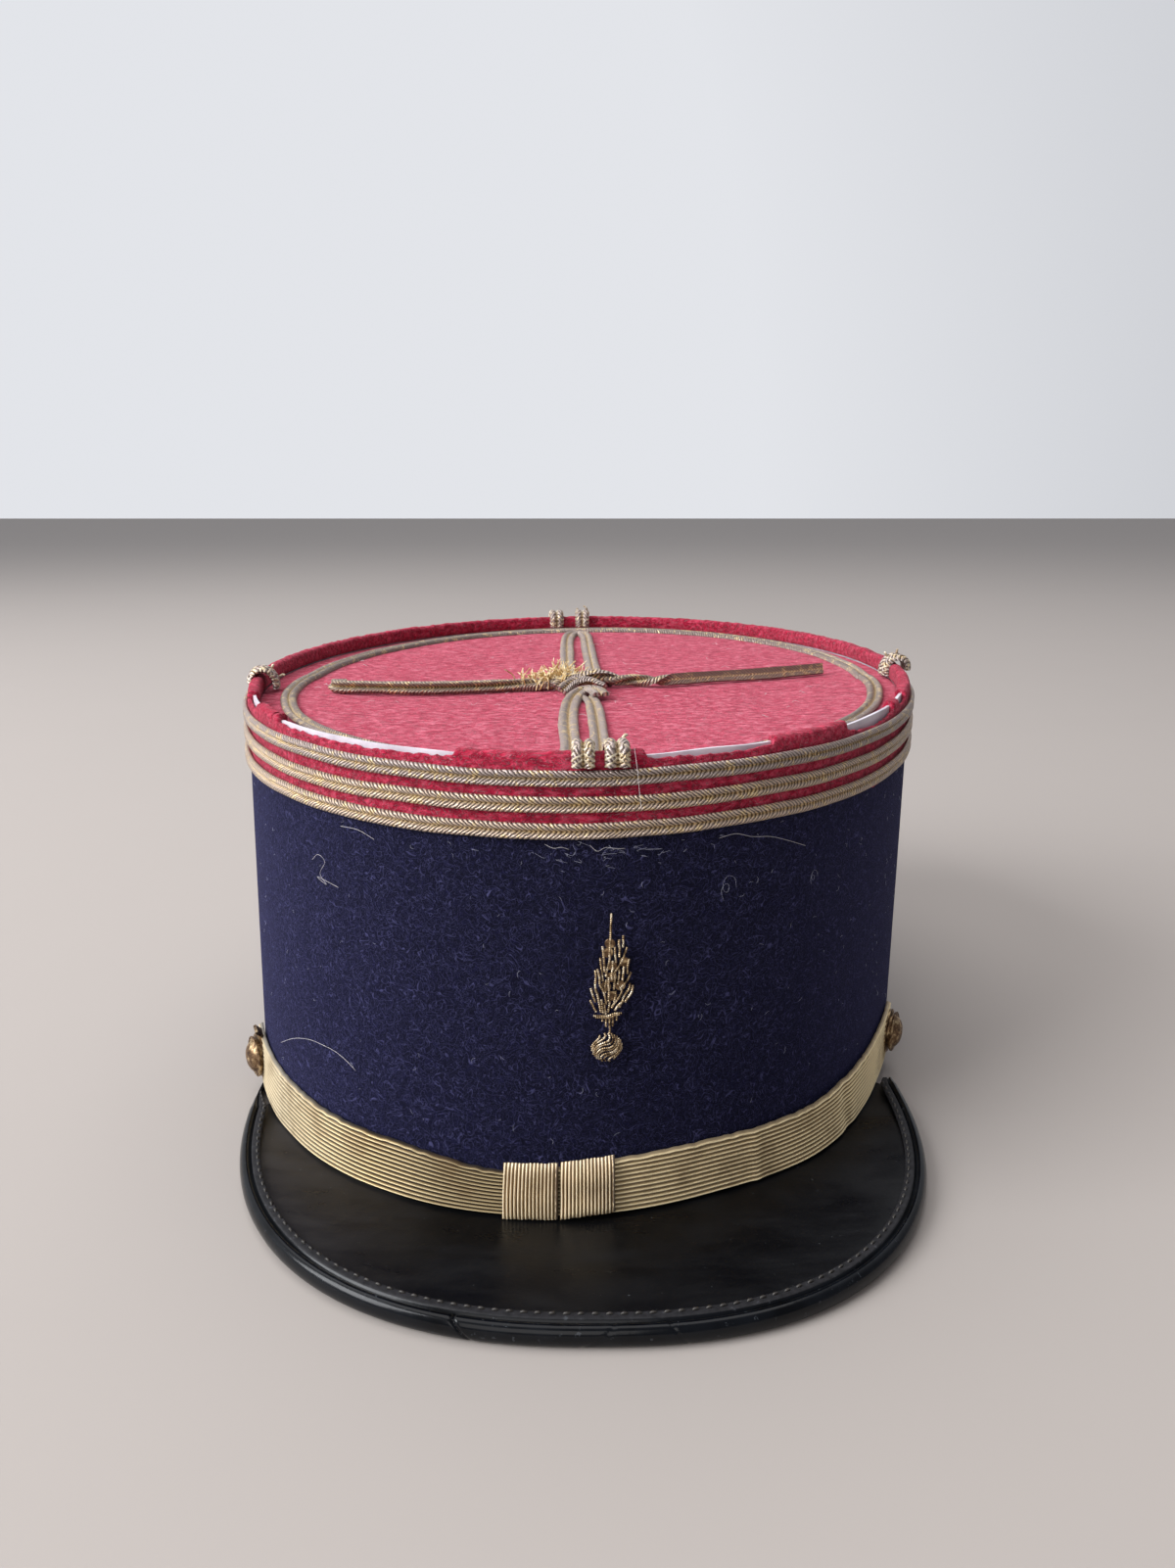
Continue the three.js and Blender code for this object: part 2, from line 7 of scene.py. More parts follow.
import bpy
import numpy as np
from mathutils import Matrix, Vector


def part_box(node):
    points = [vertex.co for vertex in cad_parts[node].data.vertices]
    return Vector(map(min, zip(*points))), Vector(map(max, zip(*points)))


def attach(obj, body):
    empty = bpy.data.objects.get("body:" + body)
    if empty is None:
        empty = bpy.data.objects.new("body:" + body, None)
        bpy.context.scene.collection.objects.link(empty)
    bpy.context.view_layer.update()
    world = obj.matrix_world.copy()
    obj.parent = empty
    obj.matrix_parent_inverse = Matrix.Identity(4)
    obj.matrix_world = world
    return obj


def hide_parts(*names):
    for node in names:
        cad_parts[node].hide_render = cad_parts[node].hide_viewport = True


bl_info = {
    "name": "Kepi cap",
    "version": (1, 0, 0),
    "blender": (4, 5, 0),
    "location": "3D View > Sidebar > Kepi",
    "description": "Dresses a kepi cap in felt, cloth, braid, lace, brass and patent leather",
    "category": "Object",
}

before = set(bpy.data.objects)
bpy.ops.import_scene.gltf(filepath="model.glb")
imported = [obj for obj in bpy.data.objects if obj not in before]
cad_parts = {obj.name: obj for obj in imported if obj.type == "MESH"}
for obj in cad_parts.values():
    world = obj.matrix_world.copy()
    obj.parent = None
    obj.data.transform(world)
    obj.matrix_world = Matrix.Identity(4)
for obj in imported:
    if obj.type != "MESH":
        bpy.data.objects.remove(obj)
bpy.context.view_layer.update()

MM = 0.001
TURN = 2 * math.pi


# Colours and nodes


def linear(code):
    """sRGB hex to a linear colour with alpha."""
    parts = [int(code[i : i + 2], 16) / 255 for i in (1, 3, 5)]
    return [p / 12.92 if p <= 0.04045 else ((p + 0.055) / 1.055) ** 2.4 for p in parts] + [1.0]


def per_metre(size_mm):
    """Scale of a pattern whose features are about size_mm across."""
    return 1.0 / (size_mm * MM)


def fill(tree, target, inputs):
    """Fills a node's inputs with numbers, colours, sockets, or other nodes' first output in use."""
    for key, value in inputs.items():
        if isinstance(value, bpy.types.Node):
            value = next(output for output in value.outputs if output.enabled)
        if isinstance(value, bpy.types.NodeSocket):
            tree.links.new(value, target.inputs[key])
        else:
            target.inputs[key].default_value = value


def node(tree, kind, inputs=None, stops=(), **settings):
    """Adds a node, sets it, gives a colour ramp its (position, hex) stops and fills its inputs."""
    made = tree.nodes.new("ShaderNode" + kind)
    for key, value in settings.items():
        setattr(made, key, value)
    if stops:
        elements = made.color_ramp.elements
        while len(elements) < len(stops):
            elements.new(0.5)
        for element, (place, code) in zip(elements, stops):
            element.position = place
            element.color = linear(code)
    fill(tree, made, inputs or {})
    return made


def material(name):
    """A new material, what adds nodes to it, what fills its shader, and its object coordinates."""
    made = bpy.data.materials.new(name)
    made.use_nodes = True
    tree = made.node_tree
    add = partial(node, tree)
    finish = partial(fill, tree, tree.nodes["Principled BSDF"])
    return made, add, finish, add("TexCoord").outputs["Object"]


def fibres(add, place, size_mm, width, distortion):
    """Curly hair lines: 1 where a distorted noise crosses its middle value, 0 away from there."""
    cloud = add(
        "TexNoise", {"Vector": place, "Scale": per_metre(size_mm), "Detail": 1.0, "Distortion": distortion}
    )
    side = add("Math", {0: cloud, 1: 0.5}, operation="SUBTRACT")
    away = add("Math", {0: side}, operation="ABSOLUTE")
    share = add("Math", {0: away, 1: width}, operation="DIVIDE")
    capped = add("Math", {0: share, 1: 1.0}, operation="MINIMUM")
    return add("Math", {0: 1.0, 1: capped}, operation="SUBTRACT")


# Shape of the head


# Sizes are in mm about the head's axis, which is the middle of the crown's top
LOW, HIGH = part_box("crown_top")
HEAD = ((LOW[0] + HIGH[0]) / 2, (LOW[1] + HIGH[1]) / 2)
BASE_A, BASE_B = 84.0, 100.8
RIM_A, RIM_B = 83.9, 92.7
OVAL_TURN = math.radians(-14)
# Height of the rim, and its rise towards the back for each mm
RIM_HEIGHT, RIM_SLOPE = 97.7, 0.034
# The crown's top: how far it is sunk, how much its middle sags and its distance from the rim's face
DISC_DROP, DISC_SAG, DISC_INSET = 4.0, 0.6, 2.3
# Radius of the band's front, where trim is placed by its sideways distance
FRONT_RADIUS = 97.0


def oval(a, b, az):
    """Distance from the axis to the turned oval along a direction."""
    return 1 / np.hypot(np.cos(az - OVAL_TURN) / a, np.sin(az - OVAL_TURN) / b)


def rim_z(az):
    """Height of the rim along a direction."""
    return RIM_HEIGHT + RIM_SLOPE * oval(RIM_A, RIM_B, az) * np.sin(az)


def wall(az, z, out):
    """Points on the side wall, in mm about the head's axis, moved out from its face."""
    t = z / rim_z(az)
    r = oval(BASE_A + (RIM_A - BASE_A) * t + out, BASE_B + (RIM_B - BASE_B) * t + out, az)
    return np.stack([r * np.cos(az), r * np.sin(az), z + 0 * r], -1)


def below(az, drop, out):
    """Points on the side wall at a drop below the rim."""
    return wall(az, rim_z(az) - drop, out)


def disc_z(x, y):
    """Height of the crown's top, which sags and waves a little."""
    share = np.hypot(x, y) / oval(RIM_A - DISC_INSET, RIM_B - DISC_INSET, np.arctan2(y, x))
    wave = 0.3 * np.sin(0.06 * x + 1) * np.cos(0.05 * y) * (1 - share**2)
    return RIM_HEIGHT + RIM_SLOPE * y - DISC_DROP - DISC_SAG * (1 - share**2) + wave


def front_az(x):
    """Direction of a place on the front of the band from its sideways distance."""
    return -math.pi / 2 + np.arcsin(np.asarray(x) / FRONT_RADIUS)


def facing(x, z, out):
    """Points on the front of the band from a sideways place and a height."""
    az = front_az(x)
    return wall(az, np.asarray(z, float) + 0 * az, out)


def to_frame(points):
    """mm about the head's axis to metres in the part's frame."""
    return np.asarray(points, float) * MM + np.array([HEAD[0], HEAD[1], 0.0])


def around(u):
    """Direction for a share of a full turn; the last column of a ring gets the first one's."""
    return np.mod(u, 1.0) * TURN


def ease(x, low, high):
    """0 to 1 between two values, flat at both ends."""
    t = np.clip((x - low) / (high - low), 0, 1)
    return t * t * (3 - 2 * t)


def wander(x, seed, size):
    """Slow smooth variation between about -1 and 1."""
    rng = np.random.default_rng(seed)
    total = 0 * np.asarray(x, float)
    for k in range(1, 5):
        total = total + np.sin(x * k * rng.uniform(0.7, 1.3) / size + rng.uniform(0, TURN)) / k
    return total / 1.6


def rough(x, seed, size):
    """Uneven edge: random values joined smoothly, one each size along x."""
    rng = np.random.default_rng(seed)
    place = np.asarray(x, float) / size
    table = rng.uniform(-1, 1, int(place.max()) + 3)
    cell = np.floor(place).astype(int)
    t = ease(place - cell, 0, 1)
    return table[cell] * (1 - t) + table[cell + 1] * t


# Making pieces


# Vertices closer than this in metres are one
SAME_PLACE = 2e-6
# Points a wire's path is measured with before it gets its own, their spacing on a plain wire, and the
# share of a wire's radius at its ends
ROUGH_STEPS, PLAIN_STEP, END_SHARE = 8, 0.5, 0.6
# Points for each coil of a purl
COIL_STEPS = 5


def clear_selection():
    """Leaves edit mode and deselects all."""
    if bpy.context.object is not None and bpy.context.object.mode != "OBJECT":
        bpy.ops.object.mode_set(mode="OBJECT")
    bpy.ops.object.select_all(action="DESELECT")


def select_only(piece):
    """Selects one piece and makes it active."""
    clear_selection()
    piece.select_set(True)
    bpy.context.view_layer.objects.active = piece


def close_up(piece):
    """Merges seams, fills open ends and turns faces outwards."""
    select_only(piece)
    bpy.ops.object.mode_set(mode="EDIT")
    bpy.ops.mesh.select_all(action="SELECT")
    bpy.ops.mesh.remove_doubles(threshold=SAME_PLACE)
    bpy.ops.mesh.fill_holes(sides=0)
    bpy.ops.mesh.select_all(action="SELECT")
    bpy.ops.mesh.normals_make_consistent(inside=False)
    bpy.ops.object.mode_set(mode="OBJECT")


def draped_grid(name, along, across, shape, uv=None):
    """A grid carried to shape(u, v), in mm about the head's axis; u runs along and v round the section."""
    clear_selection()
    bpy.ops.mesh.primitive_grid_add(x_subdivisions=along, y_subdivisions=across, size=2)
    piece = bpy.context.object
    piece.name = name
    mesh = piece.data
    mesh.name = name
    co = np.empty(len(mesh.vertices) * 3)
    mesh.vertices.foreach_get("co", co)
    co = co.reshape(-1, 3)
    u, v = (co[:, 0] + 1) / 2, (co[:, 1] + 1) / 2
    mesh.vertices.foreach_set("co", to_frame(shape(u, v)).ravel())
    if uv is not None:
        layer = mesh.uv_layers[0].data
        flat = np.empty(len(layer) * 2)
        layer.foreach_get("uv", flat)
        flat = flat.reshape(-1, 2)
        layer.foreach_set("uv", np.stack(uv(flat[:, 0], flat[:, 1]), -1).ravel())
    mesh.update()
    close_up(piece)
    bpy.ops.object.shade_smooth_by_angle(angle=math.radians(60))
    return piece


def loop_of(v, knots):
    """Closed section through knots of (v, p, q), straight between them."""
    table = np.asarray(knots, float)
    return np.interp(v, table[:, 0], table[:, 1]), np.interp(v, table[:, 0], table[:, 2])


def smooth_path(points, steps):
    """Evenly spaced points on a smooth curve through the given ones, and its length."""
    pts = np.asarray(points, float)
    ends = np.vstack([2 * pts[0] - pts[1], pts, 2 * pts[-1] - pts[-2]])
    parts = []
    t = np.linspace(0, 1, 20, endpoint=False)[:, None]
    for i in range(len(pts) - 1):
        a, b, c, d = ends[i : i + 4]
        curl = (2 * a - 5 * b + 4 * c - d) * t**2
        parts.append(0.5 * (2 * b + (c - a) * t + curl + (3 * b - a - 3 * c + d) * t**3))
    dense = np.vstack(parts + [pts[-1:]])
    run = np.r_[0, np.cumsum(np.linalg.norm(np.diff(dense, axis=0), axis=1))]
    s = np.linspace(0, run[-1], steps)
    return np.column_stack([np.interp(s, run, dense[:, k]) for k in range(3)]), run[-1]


def unit(vectors):
    """Vectors of length 1 along the given ones."""
    return vectors / np.maximum(np.linalg.norm(vectors, axis=-1, keepdims=True), 1e-9)


def wires(name, paths, radius, sides=1, ripple=0.0, pitch=0.42):
    """Thin wires along paths in mm, as one mesh; ripple gives them the coils of wire purl, pitch apart."""
    clear_selection()
    bpy.ops.curve.primitive_nurbs_path_add()
    piece = bpy.context.object
    piece.name = name
    curve = piece.data
    curve.splines.clear()
    curve.dimensions = "3D"
    curve.bevel_depth = radius * MM
    curve.bevel_resolution = sides
    curve.use_fill_caps = True
    for path in paths:
        _, length = smooth_path(path, ROUGH_STEPS)
        coiled, drawn = int(length / (pitch / COIL_STEPS)), int(length / PLAIN_STEP) + 3
        steps = max(6, coiled) if ripple else max(5, drawn)
        points, length = smooth_path(path, steps)
        spline = curve.splines.new("POLY")
        spline.points.add(steps - 1)
        placed = np.column_stack([to_frame(points), np.ones(steps)])
        spline.points.foreach_set("co", placed.ravel())
        s = np.linspace(0, length, steps)
        size = 1 + ripple * np.sin(TURN * s / pitch)
        size[[0, -1]] *= END_SHARE
        spline.points.foreach_set("radius", size)
        spline.use_smooth = True
    select_only(piece)
    bpy.ops.object.transform_apply(location=True, rotation=True, scale=True)
    bpy.ops.object.convert(target="MESH")
    piece = bpy.context.object
    bpy.ops.object.shade_smooth()
    return piece


def finish_piece(piece, made, slot_name, *nodes):
    """Gives a piece its material and the nodes that it stands for; slot_name is not used."""
    piece.data.materials.clear()
    piece.data.materials.append(made)
    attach(piece, "root")
    if nodes:
        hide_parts(*nodes)
    return piece


# Materials


def wool_felt():
    """Navy wool felt, milled: matt, with curly pale fibres and a faint bloom at grazing angles."""
    made, add, finish, place = material("navy_wool_felt")
    cloud = add(
        "TexNoise",
        {"Vector": place, "Scale": per_metre(0.9), "Detail": 4.0, "Roughness": 0.65, "Distortion": 0.6},
    )
    base = add("ValToRGB", {0: cloud}, [(0.32, "#03030f"), (0.55, "#09091d"), (0.72, "#131234")])
    broad = add("TexNoise", {"Vector": place, "Scale": per_metre(14.0)})
    share = add("Math", {0: broad, 1: 0.35}, operation="MULTIPLY")
    navy = list(bpy.context.scene.kepi_colours.felt)
    base = add("Mix", {0: share, 6: base, 7: navy}, data_type="RGBA")
    coarse = add("Math", {0: fibres(add, place, 3.4, 0.022, 2.5), 1: 0.55}, operation="MULTIPLY")
    fine = add("Math", {0: fibres(add, place, 1.9, 0.035, 3.5), 1: 0.28}, operation="MULTIPLY")
    hair = add("Math", {0: coarse, 1: fine}, operation="MAXIMUM")
    base = add("Mix", {0: hair, 6: base, 7: linear("#5c5c8a")}, data_type="RGBA")
    raised = add("Math", {0: hair, 1: 0.8}, operation="MULTIPLY")
    height = add("Math", {0: cloud, 1: raised}, operation="ADD")
    finish({
        "Base Color": base,
        "Roughness": 0.95,
        "Specular IOR Level": 0.15,
        "Sheen Weight": 0.16,
        "Sheen Roughness": 0.5,
        "Sheen Tint": linear("#7f80d8"),
        "Normal": add("Bump", {"Height": height, "Distance": 0.45 * MM, "Strength": 0.8}),
    })
    return made


def wool_cloth(name, dark, mid, pale, fleck, flecks):
    """Red wool cloth with a raised nap: rough, with pale worn fibres."""
    made, add, finish, place = material(name)
    stretched = add("Mapping", {"Vector": place, "Scale": (0.45, 1.2, 1.0)})
    cloud = add(
        "TexNoise",
        {"Vector": stretched, "Scale": per_metre(1.1), "Detail": 4.0, "Roughness": 0.7, "Distortion": 0.5},
    )
    base = add("ValToRGB", {0: cloud}, [(0.39, dark), (0.5, mid), (0.62, pale)])
    broad = add("TexNoise", {"Vector": place, "Scale": per_metre(22.0), "Detail": 3.0})
    share = add("Math", {0: broad, 1: 0.3}, operation="MULTIPLY")
    base = add("Mix", {0: share, 6: base, 7: linear(mid)}, data_type="RGBA")
    hair = add("Math", {0: fibres(add, stretched, 1.6, 0.03, 3.0), 1: flecks}, operation="MULTIPLY")
    base = add("Mix", {0: hair, 6: base, 7: linear(fleck)}, data_type="RGBA")
    dots = add("TexNoise", {"Vector": place, "Scale": per_metre(2.4), "Detail": 3.0, "Roughness": 0.8})
    specks = add("Math", {0: dots, 1: 0.715}, operation="GREATER_THAN")
    lint = add("Math", {0: specks, 1: 0.6}, operation="MULTIPLY")
    base = add("Mix", {0: lint, 6: base, 7: linear(fleck)}, data_type="RGBA")
    height = add("Math", {0: cloud, 1: hair}, operation="ADD")
    finish({
        "Base Color": base,
        "Roughness": 0.95,
        "Specular IOR Level": 0.15,
        "Sheen Weight": 0.25,
        "Sheen Roughness": 0.4,
        "Sheen Tint": linear("#ffb9c6"),
        "Normal": add("Bump", {"Height": height, "Distance": 0.7 * MM, "Strength": 1.0}),
    })
    return made


def celluloid():
    """White stiffener sheet, rolled: smooth with a low gloss, and grimy in places."""
    made, add, finish, place = material("white_celluloid")
    cloud = add("TexNoise", {"Vector": place, "Scale": per_metre(6.0), "Detail": 3.0})
    base = add("ValToRGB", {0: cloud}, [(0.3, "#b9b2bc"), (0.6, "#dcd6de")])
    finish({"Base Color": base, "Roughness": 0.35})
    return made


def soutache(name="tarnished_gilt_braid", crest="#bdada6"):
    """Tarnished gilt braid, plaited: threads slant to a groove, gold in the groove and grey on top, with
    painted glints.
    """
    made, add, finish, place = material(name)
    uv = add("SeparateXYZ", {0: add("TexCoord").outputs["UV"]})
    off_middle = add("Math", {0: uv.outputs["Y"], 1: 0.5}, operation="SUBTRACT")
    side = add("Math", {0: off_middle}, operation="ABSOLUTE")
    # Real threads are about 0.3 mm; they are drawn coarser so that the herringbone shows
    pitch = bpy.context.scene.kepi_sizes.thread_pitch / MM
    run = add("Math", {0: uv.outputs["X"], 1: pitch}, operation="DIVIDE")
    lean = add("Math", {0: side, 1: 4.0}, operation="MULTIPLY")
    slant = add("Math", {0: run, 1: lean}, operation="ADD")
    uneven = add("TexNoise", {"Vector": place, "Scale": per_metre(1.5)})
    jitter = add("Math", {0: uneven, 1: 1.2}, operation="MULTIPLY")
    phase = add("Math", {0: slant, 1: jitter}, operation="ADD")
    wave = add("Math", {0: phase, 1: math.pi}, operation="MULTIPLY")
    swing = add("Math", {0: wave}, operation="SINE")
    thread = add("Math", {0: swing}, operation="ABSOLUTE")
    body = add("ValToRGB", {0: thread}, [(0.0, "#4a403a"), (0.4, "#8b7b73"), (1.0, crest)])
    gilt = add("ValToRGB", {0: thread}, [(0.0, "#33240f"), (0.4, "#b8935a"), (1.0, "#ffe7b4")])
    # Gold in the groove, where the gilt is left, and painted glints of pale gold in patches elsewhere
    fall = add("Math", {0: side, 1: 6.5}, operation="MULTIPLY")
    groove = add("Math", {0: 0.8, 1: fall}, operation="SUBTRACT")
    shine = add("Math", {0: groove, 1: 0.0}, operation="MAXIMUM")
    rubbed = add(
        "TexNoise",
        {"Vector": place, "Scale": per_metre(2.2), "Detail": 3.0, "Roughness": 0.8, "Distortion": 0.5},
    )
    glint_patches = add("Math", {0: rubbed, 1: 0.57}, operation="GREATER_THAN")
    worn = add("Math", {0: glint_patches, 1: 0.75}, operation="MULTIPLY")
    golden = add("Math", {0: shine, 1: worn}, operation="ADD")
    share = add("Math", {0: golden, 1: 1.0}, operation="MINIMUM")
    base = add("Mix", {0: share, 6: body, 7: gilt}, data_type="RGBA")
    grime = add("TexNoise", {"Vector": place, "Scale": per_metre(5.0), "Detail": 3.0})
    dirt = add("Math", {0: grime, 1: 0.25}, operation="MULTIPLY")
    base = add("Mix", {0: dirt, 6: base, 7: linear("#6a5b54")}, data_type="RGBA")
    finish({
        "Base Color": base,
        "Metallic": 0.45,
        "Roughness": 0.4,
        "Normal": add("Bump", {"Height": thread, "Distance": 0.24 * MM, "Strength": 1.0}),
    })
    return made


def wire_purl():
    """Gold purl: fine wire coiled tight, bright on its crowns and brown between them."""
    made, add, finish, place = material("gold_wire_purl")
    grime = add(
        "TexNoise",
        {"Vector": place, "Scale": per_metre(1.2), "Detail": 3.0, "Roughness": 0.7, "Distortion": 0.3},
    )
    base = add("ValToRGB", {0: grime}, [(0.34, "#54402a"), (0.5, "#b59b76"), (0.66, "#f4e8d0")])
    dents = add("TexNoise", {"Vector": place, "Scale": per_metre(0.3)})
    finish({
        "Base Color": base,
        "Metallic": 0.7,
        "Roughness": 0.26,
        "Normal": add("Bump", {"Height": dents, "Distance": 0.1 * MM, "Strength": 0.6}),
    })
    return made


def gilt_thread(name, dark, mid, pale):
    """Gilt thread, spun on cotton: soft gloss, pale where the metal has gone."""
    made, add, finish, place = material(name)
    cloud = add("TexNoise", {"Vector": place, "Scale": per_metre(1.2), "Detail": 3.0})
    base = add("ValToRGB", {0: cloud}, [(0.36, dark), (0.5, mid), (0.64, pale)])
    finish({"Base Color": base, "Metallic": 0.2, "Roughness": 0.45})
    return made


# Past the last rib, for lace that is not frayed
NO_FRAYED_RIB = 99.0
# Spacing of the metal weft in mm
WEFT = 0.4


def gilt_lace(name, stops, painted_light_and_grey, metal, fray=NO_FRAYED_RIB):
    """Gilt lace, woven over cord ribs: bright on the ribs, brown in the channels and where it frays."""
    made, add, finish, place = material(name)
    uv = add("SeparateXYZ", {0: add("TexCoord").outputs["UV"]})
    along, rib = uv.outputs["X"], uv.outputs["Y"]
    wave = add("Math", {0: rib, 1: TURN}, operation="MULTIPLY")
    swing = add("Math", {0: wave}, operation="COSINE")
    half = add("Math", {0: swing, 1: 0.5}, operation="MULTIPLY")
    crown = add("Math", {0: half, 1: 0.5}, operation="ADD")
    base = add("ValToRGB", {0: crown}, stops)
    # Painted reflection: the left end is painted cream in place of the window light that it mirrors
    x = add("SeparateXYZ", {0: place})
    faded = add("MapRange", {"Value": x, "From Min": -0.045, "From Max": -0.07})
    share = add("Math", {0: faded, 1: painted_light_and_grey}, operation="MULTIPLY")
    base = add("Mix", {0: share, 6: base, 7: linear("#c2baaa")}, data_type="RGBA")
    # Brown and greyed left of the slides; right of them, painted light brightens the lace
    left_of = add("MapRange", {"Value": x, "From Min": -0.058, "From Max": -0.03})
    right_of = add("MapRange", {"Value": x, "From Min": -0.012, "From Max": 0.0})
    between = add("Math", {0: left_of, 1: right_of}, operation="SUBTRACT")
    greyed = add("Math", {0: between, 1: 0.95 * painted_light_and_grey}, operation="MULTIPLY")
    base = add("Mix", {0: greyed, 6: base, 7: linear("#443a37")}, data_type="RGBA")
    lit = add("Math", {0: right_of, 1: 0.7 * painted_light_and_grey}, operation="MULTIPLY")
    base = add("Mix", {0: lit, 6: base, 7: linear("#ffe2b6")}, data_type="RGBA", blend_type="SCREEN")
    patch = add("TexNoise", {"Vector": place, "Scale": per_metre(7.0), "Detail": 3.0})
    stain = add("MapRange", {"Value": patch, "From Min": 0.5, "From Max": 0.68})
    share = add("Math", {0: stain, 1: 0.35}, operation="MULTIPLY")
    base = add("Mix", {0: share, 6: base, 7: linear("#6d4f2c")}, data_type="RGBA")
    beat = add("Math", {0: along, 1: math.pi / WEFT}, operation="MULTIPLY")
    pick = add("Math", {0: beat}, operation="SINE")
    weft = add("Math", {0: pick}, operation="ABSOLUTE")
    share = add("Math", {0: weft, 1: 0.05}, operation="MULTIPLY")
    base = add("Mix", {0: share, 6: base, 7: linear("#f2e6c0")}, data_type="RGBA")
    # The last rib is frayed, with a ragged edge
    ragged = add("TexNoise", {"Vector": place, "Scale": per_metre(0.8)})
    shift = add("Math", {0: ragged, 1: 0.9}, operation="MULTIPLY")
    edge = add("Math", {0: rib, 1: shift}, operation="ADD")
    frayed = add("Math", {0: edge, 1: fray}, operation="GREATER_THAN")
    worn = add("Math", {0: frayed, 1: 0.8}, operation="MULTIPLY")
    base = add("Mix", {0: worn, 6: base, 7: linear("#6d5a4e")}, data_type="RGBA")
    raised = add("Math", {0: weft, 1: 0.12}, operation="MULTIPLY")
    height = add("Math", {0: raised, 1: crown}, operation="ADD")
    finish({
        "Base Color": base,
        "Metallic": metal,
        "Roughness": 0.4,
        "Normal": add("Bump", {"Height": height, "Distance": 0.16 * MM, "Strength": 0.9}),
    })
    return made


def aged_brass():
    """Stamped brass with brown tarnish in its hollows and rubbed crowns."""
    made, add, finish, place = material("aged_brass")
    cloud = add(
        "TexNoise",
        {"Vector": place, "Scale": per_metre(1.6), "Detail": 4.0, "Roughness": 0.7, "Distortion": 0.4},
    )
    finish({
        "Base Color": add("ValToRGB", {0: cloud}, [(0.34, "#3a281e"), (0.5, "#7d6248"), (0.66, "#d0b88e")]),
        "Metallic": 0.9,
        "Roughness": add("MapRange", {"Value": cloud, "To Min": 0.6, "To Max": 0.3}),
        "Normal": add("Bump", {"Height": cloud, "Distance": 0.25 * MM, "Strength": 0.7}),
    })
    return made


def scuffed_leather():
    """Black peak leather, varnished: worn, cloudy with dust, painted lighter on the left, and lightly
    scratched.
    """
    made, add, finish, place = material("scuffed_black_leather")
    cloud = add(
        "TexNoise",
        {"Vector": place, "Scale": per_metre(26.0), "Detail": 5.0, "Roughness": 0.6, "Distortion": 0.6},
    )
    base = add("ValToRGB", {0: cloud}, [(0.3, "#030304"), (0.55, "#060607"), (0.75, "#0c0c0e")])
    stretched = add("Mapping", {"Vector": place, "Scale": (0.3, 1.0, 1.0)})
    smear = add(
        "TexNoise",
        {"Vector": stretched, "Scale": per_metre(7.0), "Detail": 5.0, "Roughness": 0.65, "Distortion": 0.3},
    )
    wiped = add("MapRange", {"Value": smear, "From Min": 0.45, "From Max": 0.8})
    share = add("Math", {0: wiped, 1: 0.34}, operation="MULTIPLY")
    base = add("Mix", {0: share, 6: base, 7: linear("#1c1d20")}, data_type="RGBA")
    grain = add("TexNoise", {"Vector": place, "Scale": per_metre(0.7), "Detail": 3.0, "Roughness": 0.7})
    share = add("Math", {0: grain, 1: 0.07}, operation="MULTIPLY")
    base = add("Mix", {0: share, 6: base, 7: linear("#303136")}, data_type="RGBA")
    dots = add("TexNoise", {"Vector": place, "Scale": per_metre(1.1), "Roughness": 0.8})
    specks = add("Math", {0: dots, 1: 0.745}, operation="GREATER_THAN")
    share = add("Math", {0: specks, 1: 0.3}, operation="MULTIPLY")
    base = add("Mix", {0: share, 6: base, 7: linear("#7c8182")}, data_type="RGBA")
    # Dust lies in the smears on the left half, laid by position so that it also paints the light from the
    # window side there
    left = add("MapRange", {"Value": add("SeparateXYZ", {0: place}), "From Min": -0.03, "From Max": -0.075})
    dust_and_painted_light = add("Math", {0: left, 1: smear}, operation="MULTIPLY")
    share = add("Math", {0: dust_and_painted_light, 1: 0.6}, operation="MULTIPLY")
    base = add("Mix", {0: share, 6: base, 7: linear("#55504e")}, data_type="RGBA")
    smeared = add("Math", {0: smear, 1: 0.5}, operation="MULTIPLY")
    grained = add("Math", {0: grain, 1: 0.25}, operation="MULTIPLY")
    height = add("Math", {0: smeared, 1: grained}, operation="ADD")
    gloss = {"Value": smear, "From Min": 0.35, "From Max": 0.7, "To Min": 0.27, "To Max": 0.42}
    finish({
        "Base Color": base,
        "Roughness": add("MapRange", gloss),
        "Specular IOR Level": 0.4,
        "Normal": add("Bump", {"Height": height, "Distance": 0.25 * MM, "Strength": 0.4}),
    })
    return made


